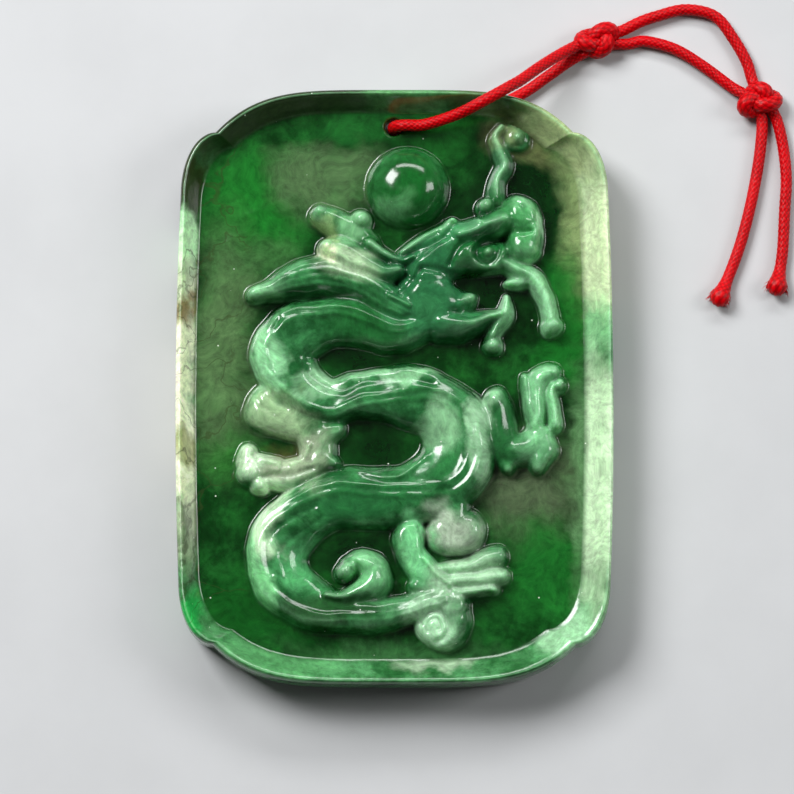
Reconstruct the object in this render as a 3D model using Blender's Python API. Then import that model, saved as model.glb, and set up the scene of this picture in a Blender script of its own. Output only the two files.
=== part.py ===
# Carved jade plaque with a dragon and a pearl in high relief, threaded with a red braided cord.
# The sizes below are millimetres. The plaque lies on its back: X runs across it to the right,
# Y runs towards the edge it hangs from, Z rises out of the carving. The origin is under its middle.
from collections import namedtuple
import math

import bmesh
import bpy
import numpy as np
from mathutils import Vector
from mathutils.geometry import delaunay_2d_cdt

MM = 0.001

# Plaque
PLAQUE_WIDTH = 44.0
PLAQUE_HEIGHT = 60.2
FIELD_THICKNESS = 4.0
RIM_RISE = 2.4
RELIEF_RISE = 3.7
RIM_WIDTH_LEFT = 2.1
RIM_WIDTH_RIGHT = 3.0
RIM_WIDTH_TOP = 2.2
RIM_WIDTH_BOTTOM = 2.8
CREST_INSET = 0.4
RIM_CORNER_SHARE = 0.6
BACK_ROUNDING = 0.7
NOTCH_INSET = 3.9
NOTCH_DROP_TOP = 4.4
NOTCH_DROP_BOTTOM = 4.0
LOBE_LENGTH = 6.2
SIDE_BULGE = 0.4
SHOULDER_POWER = 4.5

# Cord and its bore
CORD_DIAMETER = 1.2
CORD_GAP = 0.3
CORD_SPARE = 0.1
CORD_LIFT = 0.02
BORE_X = -0.1
BORE_FROM_TOP = 3.5
BORE_MOUTH = 0.3
BACK_SLOPE_LENGTH = 4.0
BACK_SLOPE_LAND = 1.6
KNOT_LENGTH = 4.9
KNOT_WIDTH = 3.2
KNOT_THICKNESS = 2.4
KNOT_WRAPS = 3

# Fineness of the faceted solids
SHOULDER_STEPS = 11
LOBE_STEPS = 8
SIDE_STEPS = 7
BORE_SIDES = 20
KNOT_SIDES = 10
FIELD_SPACING = 3.2
CARVING_STEP = 0.85
CLOSEST_POINTS = 0.27
WELD = 0.002

# The carving is drawn on a sheet of this size, which is laid over the whole plaque.
SHEET_WIDTH = 43.6
SHEET_HEIGHT = 59.8

# A stroke is a rounded ridge: points (x, y, half width) along its middle, its rise as a share of
# RELIEF_RISE, and how full its section is (2 is half an ellipse, more is flatter on top).
# A stroke of one point is a dome.
Stroke = namedtuple("Stroke", "route rise fullness")

PEARL = [
    Stroke([(1.3, 20.1, 4.1)], 0.80, 2.6),
]

BODY = [
    Stroke([(2.6, 4.4, 1.8), (-1.5, 5.9, 2.2), (-6.0, 6.4, 2.6), (-9.5, 5.4, 3.1), (-11.1, 3.1, 3.2),
            (-9.8, 0.4, 3.0), (-6.7, -1.5, 2.1), (-3.3, -1.0, 2.3), (0.6, -0.9, 3.0), (4.4, -2.2, 3.4),
            (6.5, -5.2, 3.8), (5.5, -8.8, 3.6), (2.1, -10.8, 3.2), (-2.5, -11.2, 3.1),
            (-7.0, -11.8, 3.0), (-10.2, -14.0, 3.1), (-11.6, -17.2, 3.1), (-10.5, -20.2, 3.0),
            (-7.3, -22.1, 2.4), (-3.3, -23.1, 1.6), (0.8, -22.4, 1.5), (4.1, -21.5, 1.6)], 0.70, 3.0),
]

TAIL = [
    Stroke([(-6.0, -22.0, 0.5), (-3.5, -21.5, 0.9), (-1.6, -20.6, 1.2), (-1.0, -19.0, 1.2),
            (-2.0, -17.6, 1.1), (-3.6, -17.4, 1.0), (-4.5, -18.5, 0.9)], 0.66, 2.6),
    Stroke([(6.6, -21.6, 1.0), (7.1, -23.4, 1.1), (6.2, -25.0, 1.1), (4.6, -25.4, 1.0),
            (3.0, -24.6, 1.0)], 0.60, 2.6),
    Stroke([(4.9, -23.4, 2.8)], 0.50, 3.2),
    Stroke([(4.0, -23.8, 1.7)], 0.68, 2.4),
]

LEFT_FOOT = [
    Stroke([(-13.0, -2.0, 1.7), (-10.7, -3.1, 2.0), (-8.2, -4.2, 2.0), (-7.0, -6.0, 1.9),
            (-7.9, -7.9, 1.4), (-10.2, -8.7, 1.2), (-12.2, -8.5, 1.1)], 0.62, 2.8),
    Stroke([(-9.6, -7.6, 0.6), (-12.6, -6.8, 0.8), (-14.8, -6.9, 0.8)], 0.50, 2.6),
    Stroke([(-9.8, -8.8, 0.8), (-12.8, -8.2, 0.9), (-14.7, -8.8, 0.9)], 0.60, 2.6),
    Stroke([(-10.8, -9.6, 0.6), (-13.5, -10.1, 0.7)], 0.52, 2.6),
]

RIGHT_ARM = [
    Stroke([(10.7, -1.1, 1.2), (11.0, -3.6, 1.4), (11.4, -6.7, 1.9), (13.6, -6.4, 1.5)], 0.58, 2.8),
    Stroke([(15.1, -5.3, 1.6)], 0.66, 2.8),
    Stroke([(13.4, -3.6, 0.4), (12.9, -0.8, 0.4), (13.3, 1.0, 0.4)], 0.42, 2.4),
    Stroke([(14.4, -4.0, 0.8), (14.2, -0.8, 0.8), (14.8, 1.2, 0.8), (16.1, 1.6, 0.7)], 0.62, 2.6),
    Stroke([(15.9, -3.8, 0.7), (16.0, -1.8, 0.7), (15.9, -0.1, 0.6)], 0.58, 2.6),
    Stroke([(16.9, 0.3, 0.6)], 0.50, 2.4),
    Stroke([(15.4, -6.2, 0.9), (14.5, -7.8, 0.8)], 0.54, 2.6),
]

LEG = [
    Stroke([(5.2, -15.3, 2.0), (7.8, -13.9, 2.1)], 0.68, 2.6),
    Stroke([(1.6, -14.9, 1.4), (1.9, -16.7, 1.5), (3.0, -18.7, 1.5), (4.3, -20.0, 1.2)], 0.70, 2.8),
    Stroke([(4.2, -18.2, 0.7), (7.0, -18.1, 0.8), (9.4, -17.0, 0.9), (10.8, -16.9, 0.9)], 0.58, 2.6),
    Stroke([(4.6, -19.4, 0.7), (7.8, -19.2, 0.8), (10.8, -18.8, 0.9)], 0.62, 2.6),
    Stroke([(5.0, -20.5, 0.6), (8.0, -20.4, 0.6), (10.0, -20.1, 0.5)], 0.52, 2.6),
]

MANE = [
    Stroke([(-14.1, 9.2, 0.9), (-12.0, 9.6, 1.3), (-9.4, 10.7, 1.9), (-6.9, 11.3, 2.2),
            (-4.4, 10.5, 2.1), (-1.6, 9.2, 2.0), (0.8, 7.8, 1.8)], 0.80, 3.0),
    Stroke([(-7.4, 17.3, 1.1), (-5.5, 16.1, 1.1), (-3.9, 15.2, 1.0), (-2.3, 14.4, 0.8)], 0.66, 2.6),
    Stroke([(-3.5, 16.8, 1.0)], 0.68, 2.4),
    Stroke([(-6.7, 14.0, 1.1), (-5.0, 13.5, 1.2), (-3.1, 12.3, 1.0), (-1.2, 11.4, 0.8),
            (0.6, 11.7, 0.7)], 0.92, 2.6),
    Stroke([(-2.5, 14.1, 0.8), (-1.2, 13.2, 0.8), (0.4, 12.6, 0.6), (2.0, 12.8, 0.5)], 0.82, 2.6),
    Stroke([(0.7, 13.3, 0.5), (2.7, 14.3, 0.9), (4.8, 15.4, 0.9), (5.8, 16.5, 0.5)], 0.80, 2.8),
]

HEAD = [
    Stroke([(3.6, 8.4, 3.8)], 0.90, 3.0),
    Stroke([(3.4, 11.6, 2.6), (6.6, 13.8, 2.6)], 0.94, 3.0),
    Stroke([(7.6, 14.9, 1.7), (10.6, 16.4, 1.7)], 0.92, 2.8),
    Stroke([(7.6, 12.9, 1.6), (11.0, 12.7, 1.5)], 0.84, 2.8),
    Stroke([(4.6, 6.2, 1.9), (7.4, 6.0, 1.4), (10.2, 6.7, 0.7)], 0.72, 2.8),
    Stroke([(5.0, 7.8, 0.6), (7.0, 9.0, 0.4)], 0.66, 2.4),
    Stroke([(12.7, 17.1, 2.3)], 1.00, 2.6),
    Stroke([(12.8, 13.7, 1.6)], 0.88, 2.6),
    Stroke([(9.4, 13.5, 0.9)], 0.96, 2.4),
    Stroke([(9.0, 17.9, 0.9)], 0.90, 2.4),
]

WHISKERS = [
    Stroke([(11.3, 12.2, 0.6), (13.2, 11.0, 1.0), (14.8, 9.8, 0.9), (15.4, 8.2, 0.8),
            (15.3, 7.0, 0.8)], 0.62, 2.4),
    Stroke([(15.4, 6.0, 1.1)], 0.64, 2.4),
    Stroke([(11.0, 8.6, 0.4), (10.7, 7.0, 0.8), (9.9, 5.6, 0.7), (9.7, 4.8, 0.8)], 0.58, 2.4),
    Stroke([(9.9, 3.9, 1.0)], 0.60, 2.4),
    Stroke([(10.8, 18.6, 0.8), (10.9, 20.9, 0.9), (10.8, 22.4, 0.8), (10.2, 23.9, 0.7),
            (10.2, 25.0, 0.6), (10.9, 25.9, 0.5), (12.2, 26.1, 0.4)], 0.56, 2.4),
    Stroke([(12.4, 24.8, 1.1)], 0.56, 2.4),
]

CARVING = PEARL + BODY + TAIL + LEFT_FOOT + RIGHT_ARM + LEG + MANE + HEAD + WHISKERS

# Rows of points along a stroke: just outside its foot, at the top of its wall, part of the way in
# where it is wide, and along its middle
EDGE_FOOT = 0.05
EDGE_WALL = 0.25
WIDE_STROKE = 1.5
SHOULDER_SHARE = 0.55

# Sections of the rim. Outer: inset from the widest line, and the share of the way up from the back
# edge to the crest. Inner: share of the rim's width, and share of RIM_RISE above the field.
OUTER_SECTION = [(BACK_ROUNDING, 0.0), (0.3 * BACK_ROUNDING, 0.08), (0.0, 0.35), (0.05, 0.82),
                 (0.35 * CREST_INSET, 0.95), (CREST_INSET, 1.0)]
INNER_SECTION = [(0.16, 0.93), (0.5, 0.5), (0.82, 0.12), (1.0, 0.0)]

BORE_RADIUS = CORD_DIAMETER / 2 + CORD_GAP
BORE_Y = PLAQUE_HEIGHT / 2 - BORE_FROM_TOP
BACK_LIFT = CORD_DIAMETER + CORD_GAP + CORD_SPARE
BACK_SLOPE_TOP = BORE_Y - BACK_SLOPE_LAND
BACK_SLOPE_FOOT = BACK_SLOPE_TOP - BACK_SLOPE_LENGTH


def smooth_route(route, step):
    # Catmull-Rom curve through the points of a route, read about every step along it
    points = np.array(route, dtype=float)
    if len(points) == 1:
        return points
    padded = np.vstack([2 * points[0] - points[1], points, 2 * points[-1] - points[-2]])
    parts = []
    for before, start, end, after in zip(padded[:-3], padded[1:-2], padded[2:-1], padded[3:]):
        count = max(1, math.ceil(np.linalg.norm((end - start)[:2]) / step))
        t = np.arange(count)[:, None] / count
        parts.append(0.5 * (2 * start + (end - before) * t
                            + (2 * before - 5 * start + 4 * end - after) * t ** 2
                            + (3 * start - before - 3 * end + after) * t ** 3))
    parts.append(points[-1:])
    return np.vstack(parts)


def on_plaque(stroke):
    # The stroke's middle line, stretched from the drawing sheet to the plaque
    line = smooth_route(stroke.route, CARVING_STEP)
    across = PLAQUE_WIDTH / SHEET_WIDTH
    along = PLAQUE_HEIGHT / SHEET_HEIGHT
    return line * np.array([across, along, min(across, along)])


def stroke_rise(line, stroke, places):
    # Height of one stroke above the field at each of the places
    share = np.hypot(*(places - line[0, :2]).T) / line[0, 2]
    for start, end in zip(line[:-1], line[1:]):
        span = end[:2] - start[:2]
        t = np.clip((places - start[:2]) @ span / (span @ span), 0.0, 1.0)
        gap = np.hypot(*(places - start[:2] - t[:, None] * span).T)
        share = np.minimum(share, gap / (start[2] + t * (end[2] - start[2])))
    return RELIEF_RISE * stroke.rise * np.sqrt(np.clip(1.0 - share ** stroke.fullness, 0.0, 1.0))


def carving_rise(places):
    # Height of the whole carving: wherever strokes meet, the higher one shows
    rise = np.zeros(len(places))
    for stroke in CARVING:
        rise = np.maximum(rise, stroke_rise(on_plaque(stroke), stroke, places))
    return rise


def stroke_places(line):
    # Rows of places along a stroke and around its round ends, its edge first
    if len(line) == 1:
        ahead = np.array([[1.0, 0.0]])
    else:
        ahead = np.gradient(line[:, :2], axis=0)
        ahead /= np.linalg.norm(ahead, axis=1)[:, None]
    aside = np.column_stack([-ahead[:, 1], ahead[:, 0]])
    reaches = [line[:, 2:] + EDGE_FOOT, line[:, 2:] - EDGE_WALL, line[:, 2:] * 0]
    if line[:, 2].max() > WIDE_STROKE:
        reaches.append(line[:, 2:] * SHOULDER_SHARE)
    rows = []
    for reach in reaches:
        rows += [line[:, :2] + aside * reach, line[:, :2] - aside * reach]
        for end, way in ((0, -1.0), (-1, 1.0)):
            turns = max(4, math.ceil(math.pi * reach[end, 0] / CARVING_STEP))
            angles = np.linspace(-math.pi / 2, math.pi / 2, turns + 1)[:, None]
            rows.append(line[end, :2] + reach[end] * (way * ahead[end] * np.cos(angles)
                                                      + aside[end] * np.sin(angles)))
    return np.vstack(rows)


def thin_out(places, closest, kept):
    # Add to kept each place that is at least closest from all places kept so far
    cells = {}
    for place in kept:
        cells.setdefault((int(place[0] // closest), int(place[1] // closest)), []).append(place)
    for place in places:
        column = int(place[0] // closest)
        row = int(place[1] // closest)
        near = [other for c in (column - 1, column, column + 1) for r in (row - 1, row, row + 1)
                for other in cells.get((c, r), [])]
        if all(math.dist(place, other) >= closest for other in near):
            cells.setdefault((column, row), []).append(place)
            kept.append(place)
    return kept


def back_height(y):
    # The back is flat, and thinner along the hanging edge, where the cord passes behind it
    t = np.clip((np.asarray(y) - BACK_SLOPE_FOOT) / BACK_SLOPE_LENGTH, 0.0, 1.0)
    return BACK_LIFT * t * t * (3 - 2 * t)


def corner(side, half_width, half_height, notch_x, notch_y):
    # A quarter of the outline, from the middle of the top edge over the notch to the middle of a side
    points = []
    for step in range(SHOULDER_STEPS):
        share = math.sin(math.pi / 2 * step / SHOULDER_STEPS)
        drop = (half_height - notch_y) * share ** SHOULDER_POWER
        points.append((side * notch_x * share, half_height - drop))
    lobe_width = half_width - SIDE_BULGE - notch_x
    for step in range(LOBE_STEPS):
        turn = math.pi / 2 * step / LOBE_STEPS
        points.append((side * (notch_x + lobe_width * math.sin(turn)),
                       notch_y - LOBE_LENGTH * (1 - math.cos(turn))))
    lobe_foot = notch_y - LOBE_LENGTH
    for step in range(SIDE_STEPS):
        share = 1 - step / SIDE_STEPS
        points.append((side * (half_width - SIDE_BULGE * share ** 2), lobe_foot * share))
    return points


def outline(inset=0.0, share=0.0):
    # The plaque's outline, moved in by inset all round and by a share of each side's rim width
    left, right, top, bottom = (inset + share * rim for rim in (
        RIM_WIDTH_LEFT, RIM_WIDTH_RIGHT, RIM_WIDTH_TOP, RIM_WIDTH_BOTTOM))
    half_width = PLAQUE_WIDTH / 2
    half_height = PLAQUE_HEIGHT / 2
    loop = []
    for side, up, rim_x, rim_y, notch_drop in (
            (1, 1, right, top, NOTCH_DROP_TOP), (1, -1, right, bottom, NOTCH_DROP_BOTTOM),
            (-1, -1, left, bottom, NOTCH_DROP_BOTTOM), (-1, 1, left, top, NOTCH_DROP_TOP)):
        notch_x = half_width - NOTCH_INSET - rim_x
        notch_y = half_height - notch_drop - RIM_CORNER_SHARE * rim_y
        quarter = corner(side, half_width - rim_x, half_height - rim_y, notch_x, notch_y)
        quarter = [(x, up * y) for x, y in quarter]
        middle = (side * (half_width - rim_x), 0.0)
        if side * up > 0:
            loop += quarter
        else:
            loop += [middle] + quarter[:0:-1]
    return np.array(loop)


def triangles(loop, inside):
    # Triangles that fill the loop, with a corner at each place inside it
    corners = [Vector(place) for place in loop]
    corners += [Vector(place) for place in inside]
    found = delaunay_2d_cdt(corners, [], [list(range(len(loop)))], 1, 1e-6)
    return np.array([tuple(corner) for corner in found[0]]), found[2]


def inside_loop(places, loop, margin):
    # Places that lie inside the loop, and at least margin from its corners
    ends = np.roll(loop, -1, axis=0)
    x = places[:, :1]
    y = places[:, 1:]
    crosses = (loop[:, 1] > y) != (ends[:, 1] > y)
    rise = np.where(ends[:, 1] == loop[:, 1], 1.0, ends[:, 1] - loop[:, 1])
    meets = x < loop[:, 0] + (y - loop[:, 1]) * (ends[:, 0] - loop[:, 0]) / rise
    within = (crosses & meets).sum(axis=1) % 2 == 1
    clear = np.hypot(x - loop[:, 0], y - loop[:, 1]).min(axis=1) >= margin
    return places[within & clear]


def grid(loop, spacing):
    # Evenly spaced places over the box around a loop
    low = loop.min(axis=0)
    high = loop.max(axis=0)
    columns = np.linspace(low[0], high[0], max(2, round((high[0] - low[0]) / spacing)))
    rows = np.linspace(low[1], high[1], max(2, round((high[1] - low[1]) / spacing)))
    return np.array([(x, y) for y in rows for x in columns])


def front_places(loop):
    # Places for the field's corners: close where the carving stands, wide apart on the bare field
    kept = []
    for stroke in sorted(CARVING, key=lambda one: -one.rise):
        line = on_plaque(stroke)
        places = inside_loop(stroke_places(line), loop, CLOSEST_POINTS)
        shows = carving_rise(places) <= RELIEF_RISE * stroke.rise
        thin_out([tuple(place) for place in places[shows]], CLOSEST_POINTS, kept)
    bare = inside_loop(grid(loop, FIELD_SPACING), loop, FIELD_SPACING / 3)
    return thin_out([tuple(place) for place in bare], FIELD_SPACING / 3, kept)


def back_places(loop):
    # Rows across the slope of the back, and one more below it
    rows = [BACK_SLOPE_FOOT + BACK_SLOPE_LENGTH * step / 6 for step in range(7)]
    rows.append(0.0)
    columns = np.linspace(-PLAQUE_WIDTH / 2, PLAQUE_WIDTH / 2, 12)
    return inside_loop(np.array([(x, y) for y in rows for x in columns]), loop, CLOSEST_POINTS)


def principled(name, colour, roughness):
    material = bpy.data.materials.new(name)
    material.use_nodes = True
    shader = material.node_tree.nodes["Principled BSDF"]
    shader.inputs["Base Color"].default_value = (*colour, 1.0)
    shader.inputs["Roughness"].default_value = roughness
    shader.inputs["Metallic"].default_value = 0.0
    return material


def add_object(name, data, material):
    thing = bpy.data.objects.new(name, data)
    data.materials.append(material)
    bpy.context.scene.collection.objects.link(thing)
    return thing


def add_faces(mesh, places, heights, faces):
    corners = [mesh.verts.new((x * MM, y * MM, z * MM)) for (x, y), z in zip(places, heights)]
    for face in faces:
        mesh.faces.new([corners[index] for index in face])
    return corners


def bore_cutter():
    # The bore with its two flared mouths, turned about its axis
    low = float(back_height(BORE_Y))
    over = BORE_MOUTH / 2
    section = [(BORE_RADIUS + BORE_MOUTH + over, low - over), (BORE_RADIUS, low + BORE_MOUTH),
               (BORE_RADIUS, FIELD_THICKNESS - BORE_MOUTH),
               (BORE_RADIUS + BORE_MOUTH + over, FIELD_THICKNESS + over)]
    mesh = bmesh.new()
    rings = []
    for radius, height in section:
        rings.append([mesh.verts.new((radius * math.cos(turn) * MM, radius * math.sin(turn) * MM,
                                      height * MM))
                      for turn in (2 * math.pi * step / BORE_SIDES for step in range(BORE_SIDES))])
    close_tube(mesh, rings)
    data = bpy.data.meshes.new("bore_cutter")
    mesh.to_mesh(data)
    mesh.free()
    cutter = bpy.data.objects.new("bore_cutter", data)
    cutter.location = (BORE_X * MM, BORE_Y * MM, 0.0)
    cutter.hide_render = True
    cutter.display_type = "WIRE"
    bpy.context.scene.collection.objects.link(cutter)
    return cutter


def close_tube(mesh, rings):
    # Join rings of corners, listed upwards and each anticlockwise, into one closed tube
    sides = len(rings[0])
    for lower, upper in zip(rings[:-1], rings[1:]):
        for step in range(sides):
            after = (step + 1) % sides
            mesh.faces.new((lower[step], lower[after], upper[after], upper[step]))
    mesh.faces.new(rings[0][::-1])
    mesh.faces.new(rings[-1])


def make_plaque(material):
    mesh = bmesh.new()
    rings = []
    for inset, share in OUTER_SECTION:
        loop = outline(inset=inset)
        low = back_height(loop[:, 1])
        rings.append((loop, low + (FIELD_THICKNESS + RIM_RISE - low) * share))
    for share, rise in INNER_SECTION:
        crest_share = 1 - share
        loop = outline(inset=CREST_INSET * crest_share, share=share)
        rings.append((loop, np.full(len(loop), FIELD_THICKNESS + RIM_RISE * rise)))
    corners = [add_faces(mesh, loop, heights, []) for loop, heights in rings]
    count = len(corners[0])
    for lower, upper in zip(corners[:-1], corners[1:]):
        for step in range(count):
            after = (step + 1) % count
            mesh.faces.new((lower[step], upper[step], upper[after], lower[after]))

    field_loop = rings[-1][0]
    places, faces = triangles(field_loop, front_places(field_loop))
    to_edge = np.hypot(places[:, :1] - field_loop[:, 0], places[:, 1:] - field_loop[:, 1]).min(axis=1)
    on_edge = to_edge < WELD
    add_faces(mesh, places, FIELD_THICKNESS + np.where(on_edge, 0.0, carving_rise(places)), faces)

    back_loop = rings[0][0]
    places, faces = triangles(back_loop, back_places(back_loop))
    add_faces(mesh, places, back_height(places[:, 1]), [face[::-1] for face in faces])

    bmesh.ops.remove_doubles(mesh, verts=mesh.verts, dist=WELD * MM)
    bmesh.ops.recalc_face_normals(mesh, faces=mesh.faces)
    data = bpy.data.meshes.new("plaque")
    mesh.to_mesh(data)
    mesh.free()
    plaque = add_object("plaque", data, material)
    bore = plaque.modifiers.new("bore", "BOOLEAN")
    bore.operation = "DIFFERENCE"
    bore.solver = "EXACT"
    bore.object = bore_cutter()
    return plaque


# The cord's route, in stretches, each a list of points (x, y, z). y is counted from the plaque's
# hanging edge, so that the cord stays with that edge and its bore.
LYING = CORD_DIAMETER / 2 + CORD_LIFT
OVER_FIELD = FIELD_THICKNESS + CORD_GAP + CORD_DIAMETER / 2
OVER_RIM = FIELD_THICKNESS + RIM_RISE + CORD_GAP + CORD_SPARE + CORD_DIAMETER / 2
BEND = CORD_DIAMETER

THROUGH_BORE = [
    (17.8, 5.2, 1.85), (16.6, 4.1, 2.9), (14.7, 2.6, 4.4), (12.7, 0.9, 5.9), (11.6, 0.1, 6.8),
    (10.4, -0.7, OVER_RIM), (8.6, -1.7, OVER_RIM), (6.8, -2.5, OVER_RIM - 0.8),
    (4.8, -3.1, OVER_FIELD + 0.8), (2.8, -BORE_FROM_TOP, OVER_FIELD + 0.1),
    (BORE_X + BEND, -BORE_FROM_TOP, OVER_FIELD),
    (BORE_X + 0.3 * BEND, -BORE_FROM_TOP, OVER_FIELD - 0.3 * BEND),
    (BORE_X, -BORE_FROM_TOP, OVER_FIELD - BEND), (BORE_X, -BORE_FROM_TOP, LYING + BEND),
    (BORE_X + 0.3 * BEND, -BORE_FROM_TOP, LYING + 0.3 * BEND),
    (BORE_X + BEND, -BORE_FROM_TOP, LYING), (3.5, -2.9, LYING), (8.0, -1.7, LYING),
    (12.8, 0.5, LYING), (15.6, 2.4, LYING), (18.0, 4.0, LYING + 0.1),
]
OUTER_RUN = [(23.5, 7.3, LYING), (25.1, 8.1, LYING), (26.8, 8.7, LYING), (29.8, 9.4, LYING),
             (32.8, 8.7, LYING), (34.7, 6.3, LYING), (36.0, 3.9, LYING), (36.4, 2.6, LYING)]
INNER_RUN = [(23.9, 5.8, LYING), (25.6, 6.1, LYING), (28.6, 5.3, LYING), (31.4, 3.6, LYING),
             (34.3, 1.4, LYING)]
TAIL_LEFT = [(37.5, -2.4, LYING), (37.1, -6.5, LYING), (36.1, -11.5, LYING), (34.8, -16.0, LYING),
             (32.8, -21.0, LYING)]
TAIL_RIGHT = [(39.0, -2.1, LYING), (39.6, -4.8, LYING), (39.9, -8.1, LYING), (39.7, -11.5, LYING),
              (39.4, -16.0, LYING), (38.7, -19.9, LYING)]

# Each knot: where its middle lies, y from the hanging edge too, and which way its length points,
# in degrees from X
KNOT_BY_PLAQUE = (20.8, 5.9, 18.0)
KNOT_AT_TAILS = (37.1, 0.0, 15.0)


def make_cord(name, route, spacing, material):
    # A round cord along a smooth curve through its route
    line = smooth_route(route, spacing)
    curve = bpy.data.curves.new(name, "CURVE")
    curve.dimensions = "3D"
    curve.bevel_depth = CORD_DIAMETER / 2 * MM
    curve.bevel_resolution = 2
    curve.use_fill_caps = True
    spline = curve.splines.new("POLY")
    spline.points.add(len(line) - 1)
    for point, place in zip(spline.points, line):
        point.co = (*(place * MM), 1.0)
    cord = add_object(name, curve, material)
    cord.location = (0.0, PLAQUE_HEIGHT / 2 * MM, 0.0)
    return cord


def make_knot(name, middle, material):
    # A knot's outer shape: turns of cord pressed side by side around its length
    x, y, turn = middle
    mesh = bmesh.new()
    rings = []
    steps = 4 * KNOT_WRAPS
    for step in range(steps + 1):
        along = -1 + 2 * step / steps
        girth = math.sqrt(1 - (0.88 * along) ** 2) * (0.93 + 0.07 * math.cos(2 * math.pi * KNOT_WRAPS
                                                                             * (along + 1) / 2))
        rings.append([mesh.verts.new((KNOT_LENGTH / 2 * along * MM,
                                      KNOT_WIDTH / 2 * girth * math.cos(angle) * MM,
                                      KNOT_THICKNESS / 2 * girth * math.sin(angle) * MM))
                      for angle in (2 * math.pi * side / KNOT_SIDES for side in range(KNOT_SIDES))])
    close_tube(mesh, rings)
    data = bpy.data.meshes.new(name)
    mesh.to_mesh(data)
    mesh.free()
    knot = add_object(name, data, material)
    knot.location = (x * MM, (PLAQUE_HEIGHT / 2 + y) * MM, (KNOT_THICKNESS / 2 + CORD_LIFT) * MM)
    knot.rotation_euler = (0.0, 0.0, math.radians(turn))
    return knot


def main():
    for thing in list(bpy.data.objects):
        bpy.data.objects.remove(thing)
    jade = principled("jade", (0.02, 0.22, 0.07), 0.18)
    red = principled("red_cord", (0.62, 0.01, 0.01), 0.6)
    make_plaque(jade)
    make_cord("cord_through_bore", THROUGH_BORE, 1.3 * CORD_DIAMETER, red)
    make_cord("cord_outer_run", OUTER_RUN, 2 * CORD_DIAMETER, red)
    make_cord("cord_inner_run", INNER_RUN, 2 * CORD_DIAMETER, red)
    make_cord("tail_left", TAIL_LEFT, 2.5 * CORD_DIAMETER, red)
    make_cord("tail_right", TAIL_RIGHT, 2.5 * CORD_DIAMETER, red)
    make_knot("knot_by_plaque", KNOT_BY_PLAQUE, red)
    make_knot("knot_at_tails", KNOT_AT_TAILS, red)


main()
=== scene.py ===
# Carved jade plaque with a dragon and a pearl, on a red braided cord.
# Lengths in the dictionaries are millimetres, in the plaque's own frame: X across the carving to the
# right, Y towards the edge it hangs from, Z out of the carved face.
import math

import bpy
import numpy as np
from mathutils import Matrix, Vector, noise
from mathutils.geometry import delaunay_2d_cdt


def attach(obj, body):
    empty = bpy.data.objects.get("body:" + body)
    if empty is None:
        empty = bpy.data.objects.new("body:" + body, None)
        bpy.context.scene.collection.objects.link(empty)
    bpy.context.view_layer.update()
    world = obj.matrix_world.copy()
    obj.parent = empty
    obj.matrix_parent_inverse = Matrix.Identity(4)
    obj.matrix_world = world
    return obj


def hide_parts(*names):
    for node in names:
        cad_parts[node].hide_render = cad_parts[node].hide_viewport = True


mm = 0.001

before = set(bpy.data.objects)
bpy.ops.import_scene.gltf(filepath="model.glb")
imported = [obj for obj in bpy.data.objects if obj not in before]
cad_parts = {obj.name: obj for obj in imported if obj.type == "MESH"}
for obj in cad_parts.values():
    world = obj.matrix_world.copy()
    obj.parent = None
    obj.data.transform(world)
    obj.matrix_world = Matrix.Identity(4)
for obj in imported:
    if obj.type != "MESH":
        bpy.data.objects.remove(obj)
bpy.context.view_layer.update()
scene = bpy.context.scene
print("frame loaded")

# The view: nearly straight down on the plaque, from a little below its lower edge
view = {"aim": (0.25, -1.30, 6.0), "elevation": 82.0, "distance": 460.0, "frameWidth": 79.4,
        "sensor": 36.0}


def addObject(name, data):
    made = bpy.data.objects.new(name, data)
    scene.collection.objects.link(made)
    return made


def placeCamera():
    camera = bpy.data.cameras.new("camera")
    camera.sensor_width = view["sensor"]
    camera.lens = view["sensor"] * view["distance"] / view["frameWidth"]
    camera.clip_start = 0.01
    camera.clip_end = 10.0
    holder = addObject("camera", camera)
    tilt = math.radians(view["elevation"])
    aim = Vector(view["aim"]) * mm
    away = Vector((0.0, -math.cos(tilt), math.sin(tilt)))
    holder.location = aim + away * view["distance"] * mm
    holder.rotation_euler = (-away).to_track_quat("-Z", "Y").to_euler()
    scene.camera = holder


placeCamera()


def smoothRoute(route, step):
    # Catmull-Rom curve through the points of a route, read about every step along it. The step counts
    # in three measures where a point has three values, and else in the first two.
    points = np.array(route, dtype=float)
    if len(points) == 1:
        return points
    measures = 3 if points.shape[1] == 3 else 2
    padded = np.vstack([2 * points[0] - points[1], points, 2 * points[-1] - points[-2]])
    parts = []
    for before, start, end, after in zip(padded[:-3], padded[1:-2], padded[2:-1], padded[3:]):
        count = max(1, math.ceil(np.linalg.norm((end - start)[:measures]) / step))
        t = np.arange(count)[:, None] / count
        parts.append(0.5 * (2 * start + (end - before) * t
                            + (2 * before - 5 * start + 4 * end - after) * t ** 2
                            + (3 * start - before - 3 * end + after) * t ** 3))
    parts.append(points[-1:])
    return np.vstack(parts)


def addPiece(name, places, faces, material):
    mesh = bpy.data.meshes.new(name)
    mesh.from_pydata((np.asarray(places) * mm).tolist(), [], faces)
    mesh.materials.append(material)
    mesh.polygons.foreach_set("use_smooth", [True] * len(mesh.polygons))
    mesh.update()
    piece = addObject(name, mesh)
    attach(piece, "root")
    return piece


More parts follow.
